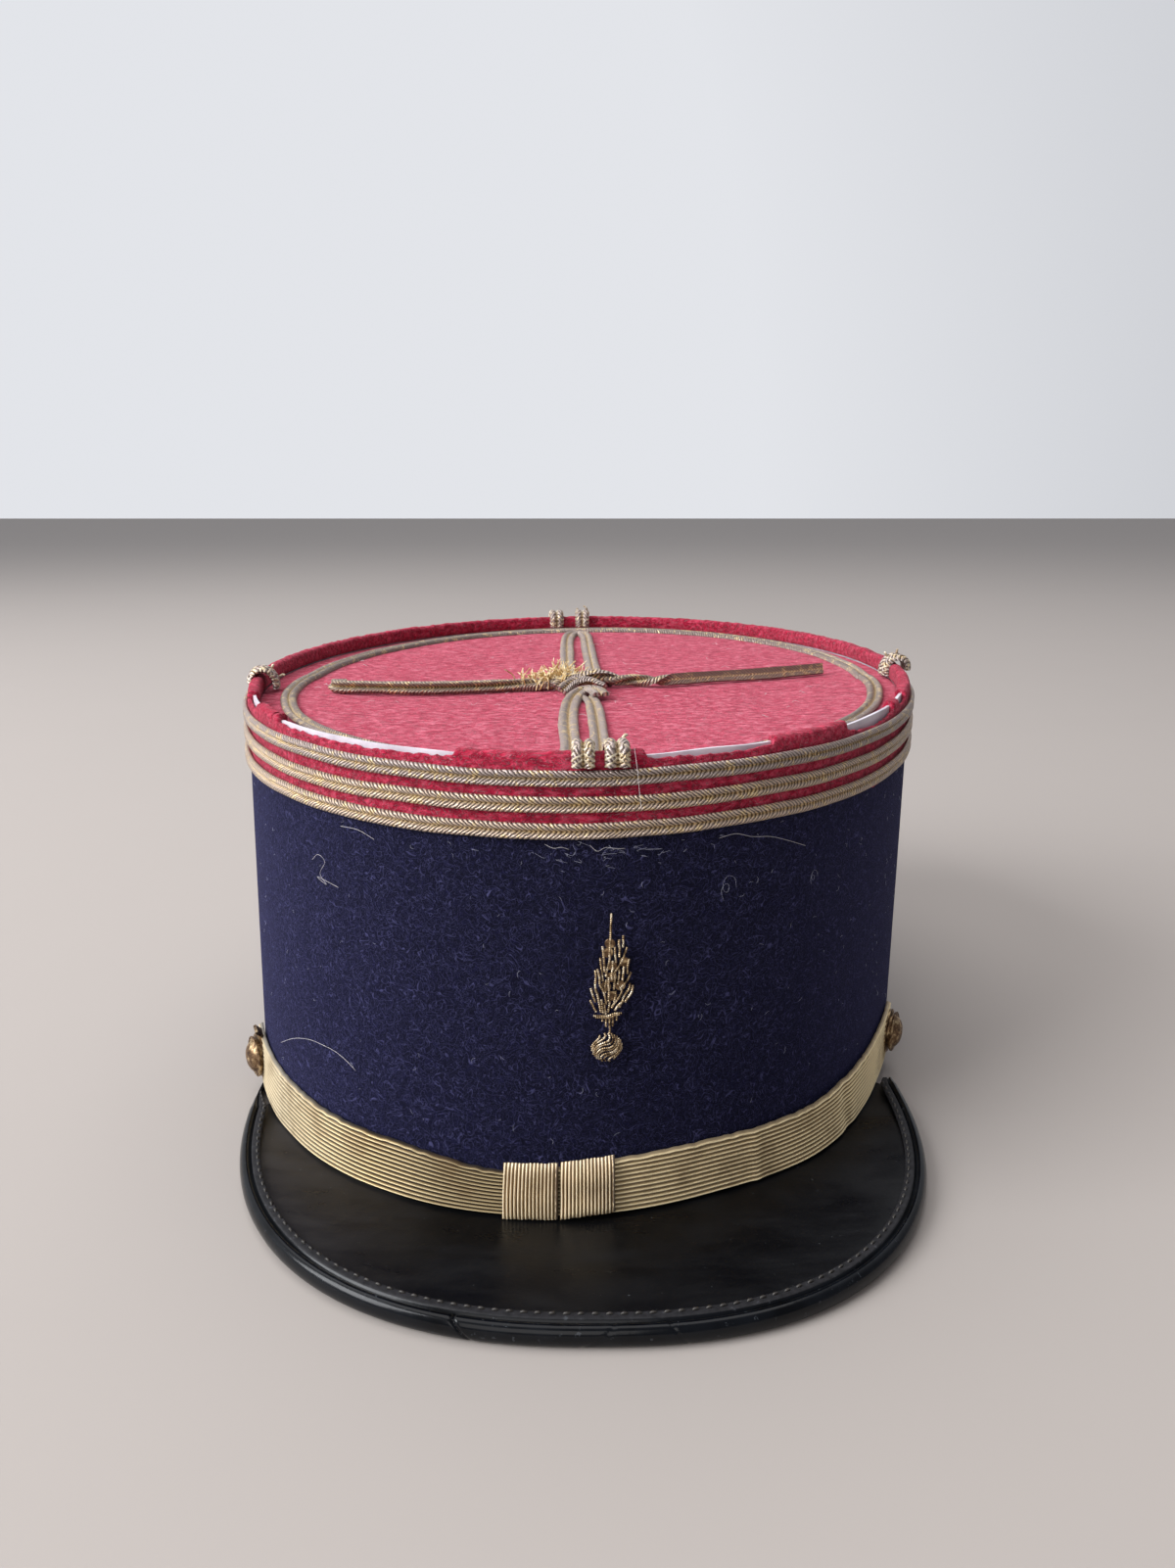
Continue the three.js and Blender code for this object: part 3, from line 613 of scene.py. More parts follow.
def varnished_binding():
    """Black patent binding: a glossy varnished roll beside a matt stitched ledge."""
    made, add, finish, place = material("black_patent_binding")
    uv = add("SeparateXYZ", {0: add("TexCoord").outputs["UV"]})
    rise = add("Math", {0: uv.outputs["Y"], 1: 12.0}, operation="MULTIPLY")
    ledge = add("Math", {0: rise, 1: 1.0}, operation="MINIMUM")
    cloud = add(
        "TexNoise",
        {"Vector": place, "Scale": per_metre(12.0), "Detail": 4.0, "Roughness": 0.6, "Distortion": 0.4},
    )
    fine = add("TexNoise", {"Vector": place, "Scale": per_metre(1.4), "Detail": 4.0, "Roughness": 0.7})
    roll = add("ValToRGB", {0: cloud}, [(0.35, "#040507"), (0.7, "#101318")])
    flat = add("ValToRGB", {0: fine}, [(0.3, "#121214"), (0.7, "#2c2b2e")])
    base = add("Mix", {0: ledge, 6: roll, 7: flat}, data_type="RGBA")
    specks = add("Math", {0: fine, 1: 0.66}, operation="GREATER_THAN")
    dust = add("Math", {0: specks, 1: 0.2}, operation="MULTIPLY")
    base = add("Mix", {0: dust, 6: base, 7: linear("#6a7076")}, data_type="RGBA")
    dull = add("MapRange", {"Value": ledge, "To Min": 0.14, "To Max": 0.6})
    clouded = add("MapRange", {"Value": cloud, "From Min": 0.4, "From Max": 0.7})
    haze = add("Math", {0: clouded, 1: 0.12}, operation="MULTIPLY")
    grained = add("Math", {0: fine, 1: 0.12}, operation="MULTIPLY")
    height = add("Math", {0: cloud, 1: grained}, operation="ADD")
    finish({
        "Base Color": base,
        "Roughness": add("Math", {0: dull, 1: haze}, operation="ADD"),
        "Specular IOR Level": 0.24,
        "Normal": add("Bump", {"Height": height, "Distance": 0.3 * MM, "Strength": 0.25}),
    })
    return made


def plain_fibre(name, code, roughness, spread):
    """Spun thread or loose fibre: matt, one hue that varies a little."""
    made, add, finish, place = material(name)
    cloud = add("TexNoise", {"Vector": place, "Scale": per_metre(1.0)})
    share = add("Math", {0: cloud, 1: 0.4}, operation="MULTIPLY")
    base = add("Mix", {0: share, 6: linear(code), 7: linear(spread)}, data_type="RGBA")
    finish({"Base Color": base, "Roughness": roughness})
    return made


def matt_floor():
    """Pale painted floor: even and matt, with a faint cloud."""
    made, add, finish, place = material("pale_matt_floor")
    cloud = add("TexNoise", {"Vector": place, "Scale": per_metre(60.0), "Detail": 3.0})
    share = add("Math", {0: cloud, 1: 0.08}, operation="MULTIPLY")
    pale = list(bpy.context.scene.kepi_colours.floor)
    base = add("Mix", {0: share, 6: pale, 7: linear("#958e88")}, data_type="RGBA")
    finish({"Base Color": base, "Roughness": 0.7})
    return made


# Settings that a user would change


class KepiSizes(bpy.types.PropertyGroup):
    """Sizes of the cap's trim."""

    braid_width: bpy.props.FloatProperty(
        name="Braid width", description="Width of the side braids", default=0.0033, unit="LENGTH"
    )
    braid_thick: bpy.props.FloatProperty(
        name="Braid thickness", description="How far a braid stands out", default=0.0011, unit="LENGTH"
    )
    oval_width: bpy.props.FloatProperty(
        name="Oval braid width", description="Width of the braid on the crown", default=0.004, unit="LENGTH"
    )
    leg_width: bpy.props.FloatProperty(
        name="Cross braid width", description="Width of the cross braids", default=0.0046, unit="LENGTH"
    )
    thread_pitch: bpy.props.FloatProperty(
        name="Thread pitch", description="Spacing of the slanting threads", default=0.0009, unit="LENGTH"
    )
    stitch_pitch: bpy.props.FloatProperty(
        name="Stitch pitch", description="Spacing of the binding's stitches", default=0.0025, unit="LENGTH"
    )
    purl_radius: bpy.props.FloatProperty(
        name="Purl radius", description="Radius of the badge's wire purl", default=0.00023, unit="LENGTH"
    )


class KepiColours(bpy.types.PropertyGroup):
    """Colours of the cap's felt and the floor."""

    felt: bpy.props.FloatVectorProperty(
        name="Felt", description="Navy of the band", size=4, subtype="COLOR", default=linear("#0a0b22")
    )
    floor: bpy.props.FloatVectorProperty(
        name="Floor", description="Pale floor", size=4, subtype="COLOR", default=linear("#a9a19b")
    )


# Band and crown


# The felt's thickness, its top edge's drop below the rim, and the height of the peak that it stands on
FELT, FELT_TOP, FOOT_RISE = 2.0, 14.8, 2.0
# How far forward of the axis the felt's foot starts to rise, on the right and the left, and over what run
FOOT_RIGHT, FOOT_LEFT, FOOT_RUN = 29, 37, 9
# Drop of the red cloth's lower edge below the rim
CLOTH_FOOT = 14.6
# Distance of the crown top's edge from the rim's face
DISC_EDGE = 2.32


class KEPI_OT_band(bpy.types.Operator):
    """Felt band: a thick felt wall, a little uneven, raised at the front to stand on the peak"""

    bl_idname = "kepi.band"
    bl_label = "Felt band"

    def execute(self, context):
        knots = [(0, 0, 0), (0.6, 0, 1), (0.64, -FELT, 1), (0.96, -FELT, 0), (1, 0, 0)]

        def shape(u, v):
            az = around(u)
            out, share = loop_of(v, knots)
            y = wall(az, 0 * az, 0)[..., 1]
            start = np.where(np.cos(az) > 0, FOOT_RIGHT, FOOT_LEFT)
            foot = FOOT_RISE * ease(-y - start, 0, FOOT_RUN)
            top = rim_z(az) - FELT_TOP
            z = foot + (top - foot) * share
            dent = 0.35 * wander(az * 10, 3, 4.0) * np.sin(math.pi * np.clip(share, 0, 1))
            return wall(az, z, out + dent)

        piece = draped_grid("felt_band", 300, 90, shape)
        finish_piece(piece, wool_felt(), "felt", "band")
        return {"FINISHED"}


# Where the rim's cloth is worn off: from and to in degrees, and the drop of its torn edge
TEARS = [
    (222.0, 255.0, 1.75),
    (204.5, 214.0, 1.9),
    (276.5, 295.0, 1.7),
    (310.0, 326.0, 3.1),
    (328.5, 335.0, 2.1),
]


def torn(az, seed):
    """1 where the rim's cloth is worn off, and the drop of its torn edge."""
    deg = np.degrees(az) % 360
    ragged = 0.9 * rough(deg * 4, seed, 3.0)
    gone = 0 * deg
    edge = 0 * deg + 1.8
    for start, end, drop in TEARS:
        inside = (deg > start + ragged) & (deg < end + ragged)
        span = np.clip((deg - start) / (end - start), 0, 1)
        gone = np.where(inside, 1.0, gone)
        deep = 1.0 + (drop - 1.0) * np.sqrt(np.sin(math.pi * (0.08 + 0.84 * span)))
        edge = np.where(inside, deep, edge)
    return gone, edge + 0.22 * rough(deg * 6, seed + 1, 2.0)


class KEPI_OT_crown(bpy.types.Operator):
    """Red crown side folded over the rim and torn, its white stiffener, and the sunk top"""

    bl_idname = "kepi.crown"
    bl_label = "Crown cloth"

    def execute(self, context):
        # Sections of the cloth, whole and worn: place round it, distance out and drop below the rim
        whole = [
            (0, 0, CLOTH_FOOT), (0.42, 0, 1.1), (0.47, -0.2, 0.4), (0.52, -0.8, 0), (0.58, -2.1, 0),
            (0.62, -2.7, 0.35), (0.66, -2.9, 1.0), (0.74, -2.9, 3.8), (0.76, -2.35, 3.8), (0.82, -2.35, 0.9),
            (0.86, -0.9, 0.75), (0.99, -0.9, CLOTH_FOOT), (1, 0, CLOTH_FOOT),
        ]
        worn = [
            (0, 0, CLOTH_FOOT), (0.42, 0, 0.5), (0.47, -0.05, 0.2), (0.52, -0.15, 0), (0.58, -0.5, -0.05),
            (0.62, -0.8, 0.05), (0.66, -0.88, 0.2), (0.74, -0.9, 0.4), (0.76, -0.9, 0.5), (0.82, -0.9, 0.6),
            (0.86, -0.9, 0.8), (0.99, -0.9, CLOTH_FOOT), (1, 0, CLOTH_FOOT),
        ]

        def shape(u, v):
            az = around(u)
            gone, edge = torn(az, 5)
            out_a, drop_a = loop_of(v, whole)
            out_b, drop_b = loop_of(v, worn)
            drop_b = np.where((v > 0.02) & (v < 0.97), drop_b + edge, drop_b)
            out = out_a + (out_b - out_a) * gone
            drop = drop_a + (drop_b - drop_a) * gone
            lumps = 0.16 * rough(az * 90, 7, 1.1) * (v > 0.4) * (v < 0.7)
            out = out + 0.12 * wander(az * 90, 9, 2.5) * (v < 0.7)
            return below(az, drop + lumps, out)

        side = draped_grid("crown_side_cloth", 900, 40, shape)
        cloth = wool_cloth("red_wool_cloth", "#7d1029", "#ae203d", "#d24c66", "#eba3ae", 0.45)
        finish_piece(side, cloth, "crown_cloth", "crown_side")

        sheet = [(0, -1.2, 1.0), (0.3, -1.2, 7.5), (0.5, -2.0, 7.5), (0.8, -2.0, 1.0), (1, -1.2, 1.0)]

        def stiffener(u, v):
            out, drop = loop_of(v, sheet)
            az = around(u)
            return below(az, drop + 0.25 * wander(az * 90, 11, 9.0) * (drop < 2), out)

        card = draped_grid("rim_stiffener", 300, 12, stiffener)
        finish_piece(card, celluloid(), "card", "rim_card")

        top_knots = [(0, 1, -1.6), (0.03, 1, 0), (0.9, 0, 0), (0.92, 0, -1.6), (1, 1, -1.6)]

        def sunk(u, v):
            az = around(u)
            share, lift = loop_of(v, top_knots)
            r = share * oval(RIM_A - DISC_EDGE, RIM_B - DISC_EDGE, az)
            x, y = r * np.cos(az), r * np.sin(az)
            return np.stack([x, y, disc_z(x, y) + lift], -1)

        top = draped_grid("crown_top_cloth", 240, 80, sunk)
        faded = wool_cloth("faded_red_wool_cloth", "#97213b", "#c2405a", "#e07e90", "#f2bcc6", 0.5)
        finish_piece(top, faded, "crown_top_cloth", "crown_top")
        return {"FINISHED"}


# Braids


# Share of a braid's section that is its flat back, and the faces round it
BRAID_BACK, BRAID_FACES = 0.16, 28
# The groove between its cords: half its width, and its depth as a share of a cord's height
GROOVE_HALF, GROOVE_HEIGHT = 0.14, 0.35
# Points along a braid's path
BRAID_STEPS = 200
# Length in mm that the threads of a braid round the cap are counted over
RING_LENGTH = 560.0
# Drop below the rim of the side braids' upper edges
BRAID_DROPS = {"upper": 3.0, "middle": 8.0, "lower": 13.0}
# Distance of the oval braid from the rim at its sides and ends, its shift to the right, and how much
# closer to the rim it lies at the front, where the rim hides it
OVAL_SIDE, OVAL_END, OVAL_SHIFT, OVAL_NEAR = 8.3, 6.5, 1.0, 2.4


def cord_pair(v, width, thick):
    """Section of a braid: flat back and two round cords with a groove between."""
    front = v > BRAID_BACK
    a = np.where(front, -0.5 + (v - BRAID_BACK) / (1 - BRAID_BACK), 0.5 - v / BRAID_BACK)
    cord = np.sqrt(np.clip(1 - ((np.abs(a) - 0.25) / 0.25) ** 2, 0, 1))
    cord = np.where(np.abs(a) < GROOVE_HALF, np.maximum(cord, GROOVE_HEIGHT), cord)
    return a * width, np.where(front, cord, 0) * thick


def lay_braid(name, points, width, thick, tilt=None, turns=None):
    """A braid along points. Its face looks along tilt, or up, and (place, share of a turn) pairs roll it."""
    path, length = smooth_path(points, BRAID_STEPS)
    along = unit(np.gradient(path, axis=0))
    if tilt is None:
        up = np.tile([0.0, 0.0, 1.0], (BRAID_STEPS, 1))
    else:
        up = unit(smooth_path(tilt, BRAID_STEPS)[0])
    side = unit(np.cross(along, up))
    up = unit(np.cross(side, along))

    def shape(u, v):
        s = u * (BRAID_STEPS - 1)
        i = np.clip(s.astype(int), 0, BRAID_STEPS - 2)
        f = (s - i)[:, None]
        at, across, rise = (q[i] * (1 - f) + q[i + 1] * f for q in (path, side, up))
        a, h = cord_pair(v, width, thick)
        a = a * (1 + 0.05 * wander(u * length, len(name), 6.0))
        turn = TURN * np.interp(u, *zip(*turns)) if turns else 0 * u
        h = h - thick * 0.5
        a, h = a * np.cos(turn) - h * np.sin(turn), a * np.sin(turn) + h * np.cos(turn)
        h = h + thick * 0.5
        return at + across * a[:, None] + rise * h[:, None]

    def uv(u, v):
        return u * length, cord_pair(v, 1.0, 1.0)[0] + 0.5

    return draped_grid(name, max(24, int(length * 2.2)), BRAID_FACES, shape, uv)


def ring_uv(u, v):
    """UV in mm along a braid round the cap, and the share across it."""
    return u * RING_LENGTH, cord_pair(v, 1.0, 1.0)[0] + 0.5


class KEPI_OT_braids(bpy.types.Operator):
    """Three braids around the crown side and one oval on its top"""

    bl_idname = "kepi.braids"
    bl_label = "Braids"

    def execute(self, context):
        s = context.scene.kepi_sizes
        width, thick = s.braid_width / MM, s.braid_thick / MM
        grey = soutache()
        # The middle and lower braids get a copy with paler thread crests, a painted highlight
        gold = soutache("brighter_gilt_braid", "#dcc4ad")
        for k, (name, drop) in enumerate(BRAID_DROPS.items()):

            def shape(u, v, drop=drop, k=k):
                az = around(u)
                a, h = cord_pair(v, width, thick)
                waver = 0.16 * wander(az * 90, 20 + k, 12.0)
                return below(az, drop + width / 2 + a + waver, 0.15 + h)

            piece = draped_grid("side_braid_" + name, 620, BRAID_FACES, shape, ring_uv)
            finish_piece(piece, grey if name == "upper" else gold, "braid", "braid_" + name)

        wide = s.oval_width / MM

        def lying(u, v):
            az = around(u)
            a, h = cord_pair(v, wide, thick)
            inward = a + wide / 2 + 0.2 * wander(az * 70, 31, 10.0)
            near = OVAL_NEAR * np.clip(-np.sin(az), 0, 1) ** 0.5
            r = oval(RIM_A - OVAL_SIDE - inward + near, RIM_B - OVAL_END - inward + near, az)
            x, y = r * np.cos(az) + OVAL_SHIFT, r * np.sin(az)
            return np.stack([x, y, disc_z(x, y) + 0.1 + h], -1)

        oval_piece = draped_grid("top_oval_braid", 560, BRAID_FACES, lying, ring_uv)
        finish_piece(oval_piece, soutache("dull_gilt_braid", "#988980"), "braid", "braid_oval")
        return {"FINISHED"}


def on_top(rows):
    """Points on the crown top from (x, y, lift) rows."""
    t = np.asarray(rows, float)
    return np.column_stack([t[:, 0], t[:, 1], disc_z(t[:, 0], t[:, 1]) + t[:, 2]])


# Paths of the braids on the crown's top: across, back, and lift off the cloth, in mm
FRONT_LOOP = [
    (-2.7, -80, 0.1), (-2.8, -71, 0.1), (-3.5, -53, 0.1), (-3.5, -36, 0.1), (-2.4, -25, 0.5),
    (0.4, -19.5, 1.2), (2.9, -22.5, 1.6), (4.2, -27, 1.3),
]
INNER_LEG = [
    (3.3, -80, 0.1), (3.3, -71, 0.1), (3.0, -53, 0.1), (2.5, -36, 0.1), (1.9, -28.5, 0.1), (0.9, -24.5, 0.1),
]
BACK_LOOP = [
    (-4.3, -5, 0.6), (-4.5, 8, 0.1), (-5.1, 33, 0.1), (-5.5, 58, 0.1), (-5.2, 70, 0.1), (-4.2, 75.5, 0.1),
    (-2.3, 77.5, 0.1), (-0.3, 75.5, 0.1), (0.6, 70, 0.1), (1.0, 58, 0.1), (1.8, 33, 0.1), (2.6, 8, 0.1),
    (3.0, -5, 0.6),
]
LEFT_BAR = [
    (-60.5, -15.2, 1.5), (-62.9, -16.4, 1.6), (-60.8, -18.2, 1.7), (-53.8, -18.7, 1.8), (-40.2, -18.9, 1.8),
    (-26.9, -16.4, 1.7), (-18, -14, 1.6), (-10, -12.6, 1.7), (-4.5, -11.4, 2.2),
]
RIGHT_BAR = [
    (3.4, -9.6, 2.4), (7.4, -10.6, 1.6), (12.5, -9.4, 1.7), (18, -9.4, 1.7), (23, -8.4, 1.6),
    (33.8, -3.8, 1.5), (48.8, 0.9, 1.5), (64.7, 7.0, 1.5),
]
CROSSING_OVER = [
    (-6.6, -15.5, 0.4), (-4.0, -13.0, 2.4), (0.0, -11.6, 3.2), (4.4, -10.6, 2.6), (7.6, -9.6, 0.9),
]
CROSSING_UNDER = [(-5.4, -20, 0.8), (-2.6, -16.6, 2.4), (1.4, -15.8, 2.7), (5.2, -17.6, 1.2)]
# How each rolls on its way, as (place, share of a turn) pairs
LEFT_TURNS = [(0, 0), (0.72, 0), (0.86, 0.12), (1, 0.3)]
RIGHT_TURNS = [(0, -0.35), (0.1, -0.12), (0.2, 0.1), (0.3, 0.5), (1, 0.5)]
OVER_TURNS = [(0, -0.1), (0.5, 0.04), (1, 0.16)]
UNDER_TURNS = [(0, -0.1), (1, 0.1)]
# Tufts of frayed thread: middle, spread across, height and count
TUFTS = [(-9.5, -12.0, 3.2, 5.6, 190), (-5.5, -11.5, 1.8, 7.0, 130), (0.5, -9.5, 2.4, 4.2, 60)]
# Count of longer threads that lean to the right, and the radius of all
LONG_THREADS, FRAY_RADIUS = 26, 0.14


class KEPI_OT_cross(bpy.types.Operator):
    """Loops and twisted bars of the cross, its knot and the frayed gold thread"""

    bl_idname = "kepi.cross"
    bl_label = "Cross"

    def execute(self, context):
        s = context.scene.kepi_sizes
        leg, thick = s.leg_width / MM, s.braid_thick / MM
        braid = soutache()
        dull = soutache("dull_gilt_braid", "#a5947f")
        # The bars stand on edge
        edge_on = [(0, -1, 0.25)] * 3
        for name, solids, rows, width, high, tilt, turns, made in [
            ("front_loop_braid", ["front_loop"], FRONT_LOOP, leg, thick, None, None, braid),
            ("front_loop_inner_leg", [], INNER_LEG, leg * 0.92, thick, None, None, braid),
            ("back_loop_braid", ["back_loop"], BACK_LOOP, leg * 0.94, thick, None, None, braid),
            ("left_bar_braid", ["cross_bar_left"], LEFT_BAR, 3.4, 1.7, edge_on, LEFT_TURNS, dull),
            ("right_bar_braid", ["cross_bar_right"], RIGHT_BAR, 3.1, 1.6, edge_on, RIGHT_TURNS, dull),
            ("centre_crossing_braid", ["centre_knot"], CROSSING_OVER, 4.6, 1.4, None, OVER_TURNS, braid),
            ("centre_crossing_under", [], CROSSING_UNDER, 3.6, 1.2, None, UNDER_TURNS, braid),
        ]:
            piece = lay_braid(name, on_top(rows), width, high, tilt, turns)
            finish_piece(piece, made, "braid", *solids)

        rng = random.Random(8)
        tufts = []
        for cx, cy, spread, high, count in TUFTS:
            for _ in range(count):
                x, y = cx + rng.gauss(0, spread), cy + rng.gauss(0, 1.3)
                z = float(disc_z(np.array(x), np.array(y))) + 0.5
                lean = rng.uniform(-1, 1)
                tall = high * rng.uniform(0.25, 1.0)
                tufts.append([
                    (x, y, z),
                    (x + lean * 1.2 + rng.gauss(0, 0.4), y + rng.gauss(0, 0.7), z + tall * 0.6),
                    (
                        x + lean * 2.4 + rng.gauss(0, 0.9),
                        y + rng.gauss(0, 1.2),
                        z + tall * rng.uniform(0.6, 1.1),
                    ),
                ])
        for _ in range(LONG_THREADS):
            x, y = -3.5 + rng.uniform(-1, 5.5), -11.5 + rng.uniform(-1.5, 1.5)
            z = float(disc_z(np.array(x), np.array(y))) + 1.2
            reach = rng.uniform(2.0, 4.2)
            tufts.append([
                (x, y, z),
                (x + reach * 0.55, y + rng.gauss(0, 0.4), z + reach * 0.35),
                (x + reach, y + rng.gauss(0, 0.6), z + reach * 0.9),
            ])
        fray = wires("frayed_gold_thread", tufts, FRAY_RADIUS, 0)
        finish_piece(fray, gilt_thread("frayed_gilt_thread", "#b98f4c", "#e8cf96", "#fbf0cf"), "gold_thread")
        return {"FINISHED"}


# Each knot's name, a place across and back that gives its direction, and its width
KNOTS = [
    ("rim_knot_front_left", -0.1, -89.5, 4.4),
    ("rim_knot_front_right", 6.1, -89.3, 4.8),
    ("rim_knot_back_left", -9.9, 91.7, 4.8),
    ("rim_knot_back_right", -0.7, 91.7, 4.8),
    ("rim_knot_left", -81, -16.5, 5.6),
    ("rim_knot_right", 86, 1.5, 5.8),
]
# A knot's path over the rim, out from its face and down from its top, and where its face looks on the way
OVER_RIM = [(-3.4, 3.2), (-3.35, 1.2), (-2.6, -0.3), (-1.4, -0.8), (0.1, -0.4), (0.55, 0.7), (0.5, 2.6)]
OVER_SIDE = [(-3.8, 3.2), (-3.7, 1.2), (-2.8, -0.3), (-1.6, -0.9), (-0.2, -0.7), (0.7, 0.3), (0.8, 1.8)]
KNOT_FACING = [(-1, 0), (-1, 0.3), (-0.6, 1), (0, 1), (0.7, 0.8), (1, 0.2), (1, 0)]
# How far the side knots are shifted inwards, left and right
SHIFT_LEFT, SHIFT_RIGHT = 1.2, -0.6
# Turns of thread round each of a knot's two lobes, its loose ends, and the thread's radius
WHIPPINGS, LOOSE_ENDS, WHIPPING_RADIUS = 11, 2, 0.34


class KEPI_OT_knots(bpy.types.Operator):
    """Braid ends whipped with bright thread that pass over the rim"""

    bl_idname = "kepi.knots"
    bl_label = "Rim knots"

    def execute(self, context):
        purl = gilt_thread("dull_whipping_thread", "#86745d", "#c6b698", "#e9dfca")
        braid = soutache()
        rng = random.Random(4)
        for name, x, y, width in KNOTS:
            az = math.atan2(y, x)
            profile, shift = OVER_RIM, 0.0
            if name in ("rim_knot_left", "rim_knot_right"):
                profile, shift = OVER_SIDE, SHIFT_LEFT if x < 0 else SHIFT_RIGHT
            points = [below(np.array(az), drop, out - shift) for out, drop in profile]
            tilt = [(out * math.cos(az), out * math.sin(az), up) for out, up in KNOT_FACING]
            core = lay_braid(name + "_core", points, width, 1.6, tilt=tilt)
            finish_piece(core, braid, "gold_thread", name)
            strands = []
            side = np.array([-math.sin(az), math.cos(az), 0.0])
            rise = unit(np.asarray(tilt, float))
            line = np.asarray(points)
            for lobe in (-0.25, 0.25):
                for k in range(WHIPPINGS):
                    t = k / (WHIPPINGS - 1) * 5.2 + 0.3
                    strand = []
                    for step in range(5):
                        f = step / 4 - 0.5
                        place = np.clip(t + (0.8 if lobe > 0 else -0.8) * f + rng.gauss(0, 0.05), 0, 5.99)
                        i = int(place)
                        at = line[i] + (line[i + 1] - line[i]) * (place - i)
                        up = rise[i] + (rise[i + 1] - rise[i]) * (place - i)
                        lift = 1.25 * math.sqrt(max(0.0, 1 - (2 * f) ** 2 * 0.9)) + 0.1
                        strand.append(at + side * width * (lobe + 0.46 * f) + up * lift)
                    strands.append(strand)
            for _ in range(LOOSE_ENDS):
                i = int(rng.uniform(0.5, 5.5))
                at = line[i] + side * width * rng.uniform(-0.4, 0.4) + rise[i] * 1.5
                away = rise[i] * rng.uniform(0.8, 1.8) + side * rng.uniform(-1.5, 1.5)
                strands.append([at, at + away * 0.6 + np.array([0, 0, 0.3]), at + away])
            whipped = wires(name + "_thread", strands, WHIPPING_RADIUS)
            finish_piece(whipped, purl, "gold_thread")
        return {"FINISHED"}


# Peak


# Shares of the peak's edge that are its horns, which run straight back, and their lengths
HORN_LEFT, HORN_RIGHT = 0.015, 0.025
HORN_LEFT_RUN, HORN_RIGHT_RUN = 3.5, 2.0
# Outline of the peak: half its width, its reach, how far it leans right, its root, and its roundness
PEAK_HALF, PEAK_REACH, PEAK_LEAN = 77.2, 83, 3.2
PEAK_X, PEAK_Y = -1.5, -52
PEAK_POWER = 2.38
# Height of the leather at its root, how much it rises to its edge, and its thickness
PEAK_TOP, PEAK_RISE, PEAK_THICK = 1.7, 1.5, 1.6
# The binding: height of the roll's middle, radius of the roll, width of the ledge and height of its top
ROLL_MIDDLE, ROLL_RADIUS, LEDGE, LEDGE_TOP = 2.05, 2.05, 1.9, 3.5
# Share of the edge between two points that give its direction
EDGE_STEP = 0.0019
# The least share of its width that the binding narrows to beside the band
NARROWEST = 0.12
# Length in mm that the binding's pattern is counted over
EDGE_LENGTH = 260
# Where the stitches start and end along the edge, and the radius of their thread
STITCH_FROM, STITCH_TO, STITCH_RADIUS = 0.02, 0.985, 0.27


def peak_edge(t):
    """Outline of the peak in plan, from the left horn round to the right; both horns run straight back."""
    bend = np.clip((t - HORN_LEFT) / (1 - HORN_LEFT - HORN_RIGHT), 0, 1)
    back = HORN_LEFT_RUN * np.maximum(0, HORN_LEFT - t) / HORN_LEFT
    back = back + HORN_RIGHT_RUN * np.maximum(0, t - 1 + HORN_RIGHT) / HORN_RIGHT
    angle = math.pi * (1 + bend)
    power = 2 / PEAK_POWER
    across = np.sign(np.cos(angle)) * np.abs(np.cos(angle)) ** power
    forward = np.abs(np.sin(angle)) ** power
    x = PEAK_X + across * PEAK_HALF + forward * PEAK_LEAN
    return np.stack([x, PEAK_Y - forward * PEAK_REACH + back], -1)


def edge_at(t):
    """Outline point, direction inwards, width of the roll, and the share of it that fits beside the band."""
    here = peak_edge(t)
    along = unit(peak_edge(np.minimum(t + EDGE_STEP, 1)) - peak_edge(np.maximum(t - EDGE_STEP, 0)))
    az = np.arctan2(here[..., 1], here[..., 0])
    room = np.hypot(here[..., 0], here[..., 1]) - oval(BASE_A + 2.5, BASE_B + 2.5, az)
    roll = 2.4 + 0.6 * np.sin(math.pi * np.clip(t, 0, 1)) ** 1.5
    share = np.clip(room / (roll + 2.2), NARROWEST, 1)
    return here, np.stack([-along[..., 1], along[..., 0]], -1), roll, share


# Creases across the roll: place along it, width, slant and depth
CRACKS = [(0.430, 0.0011, -0.0035, 1.9), (0.49, 0.0008, 0.003, 0.5), (0.545, 0.0008, -0.003, 0.6)]


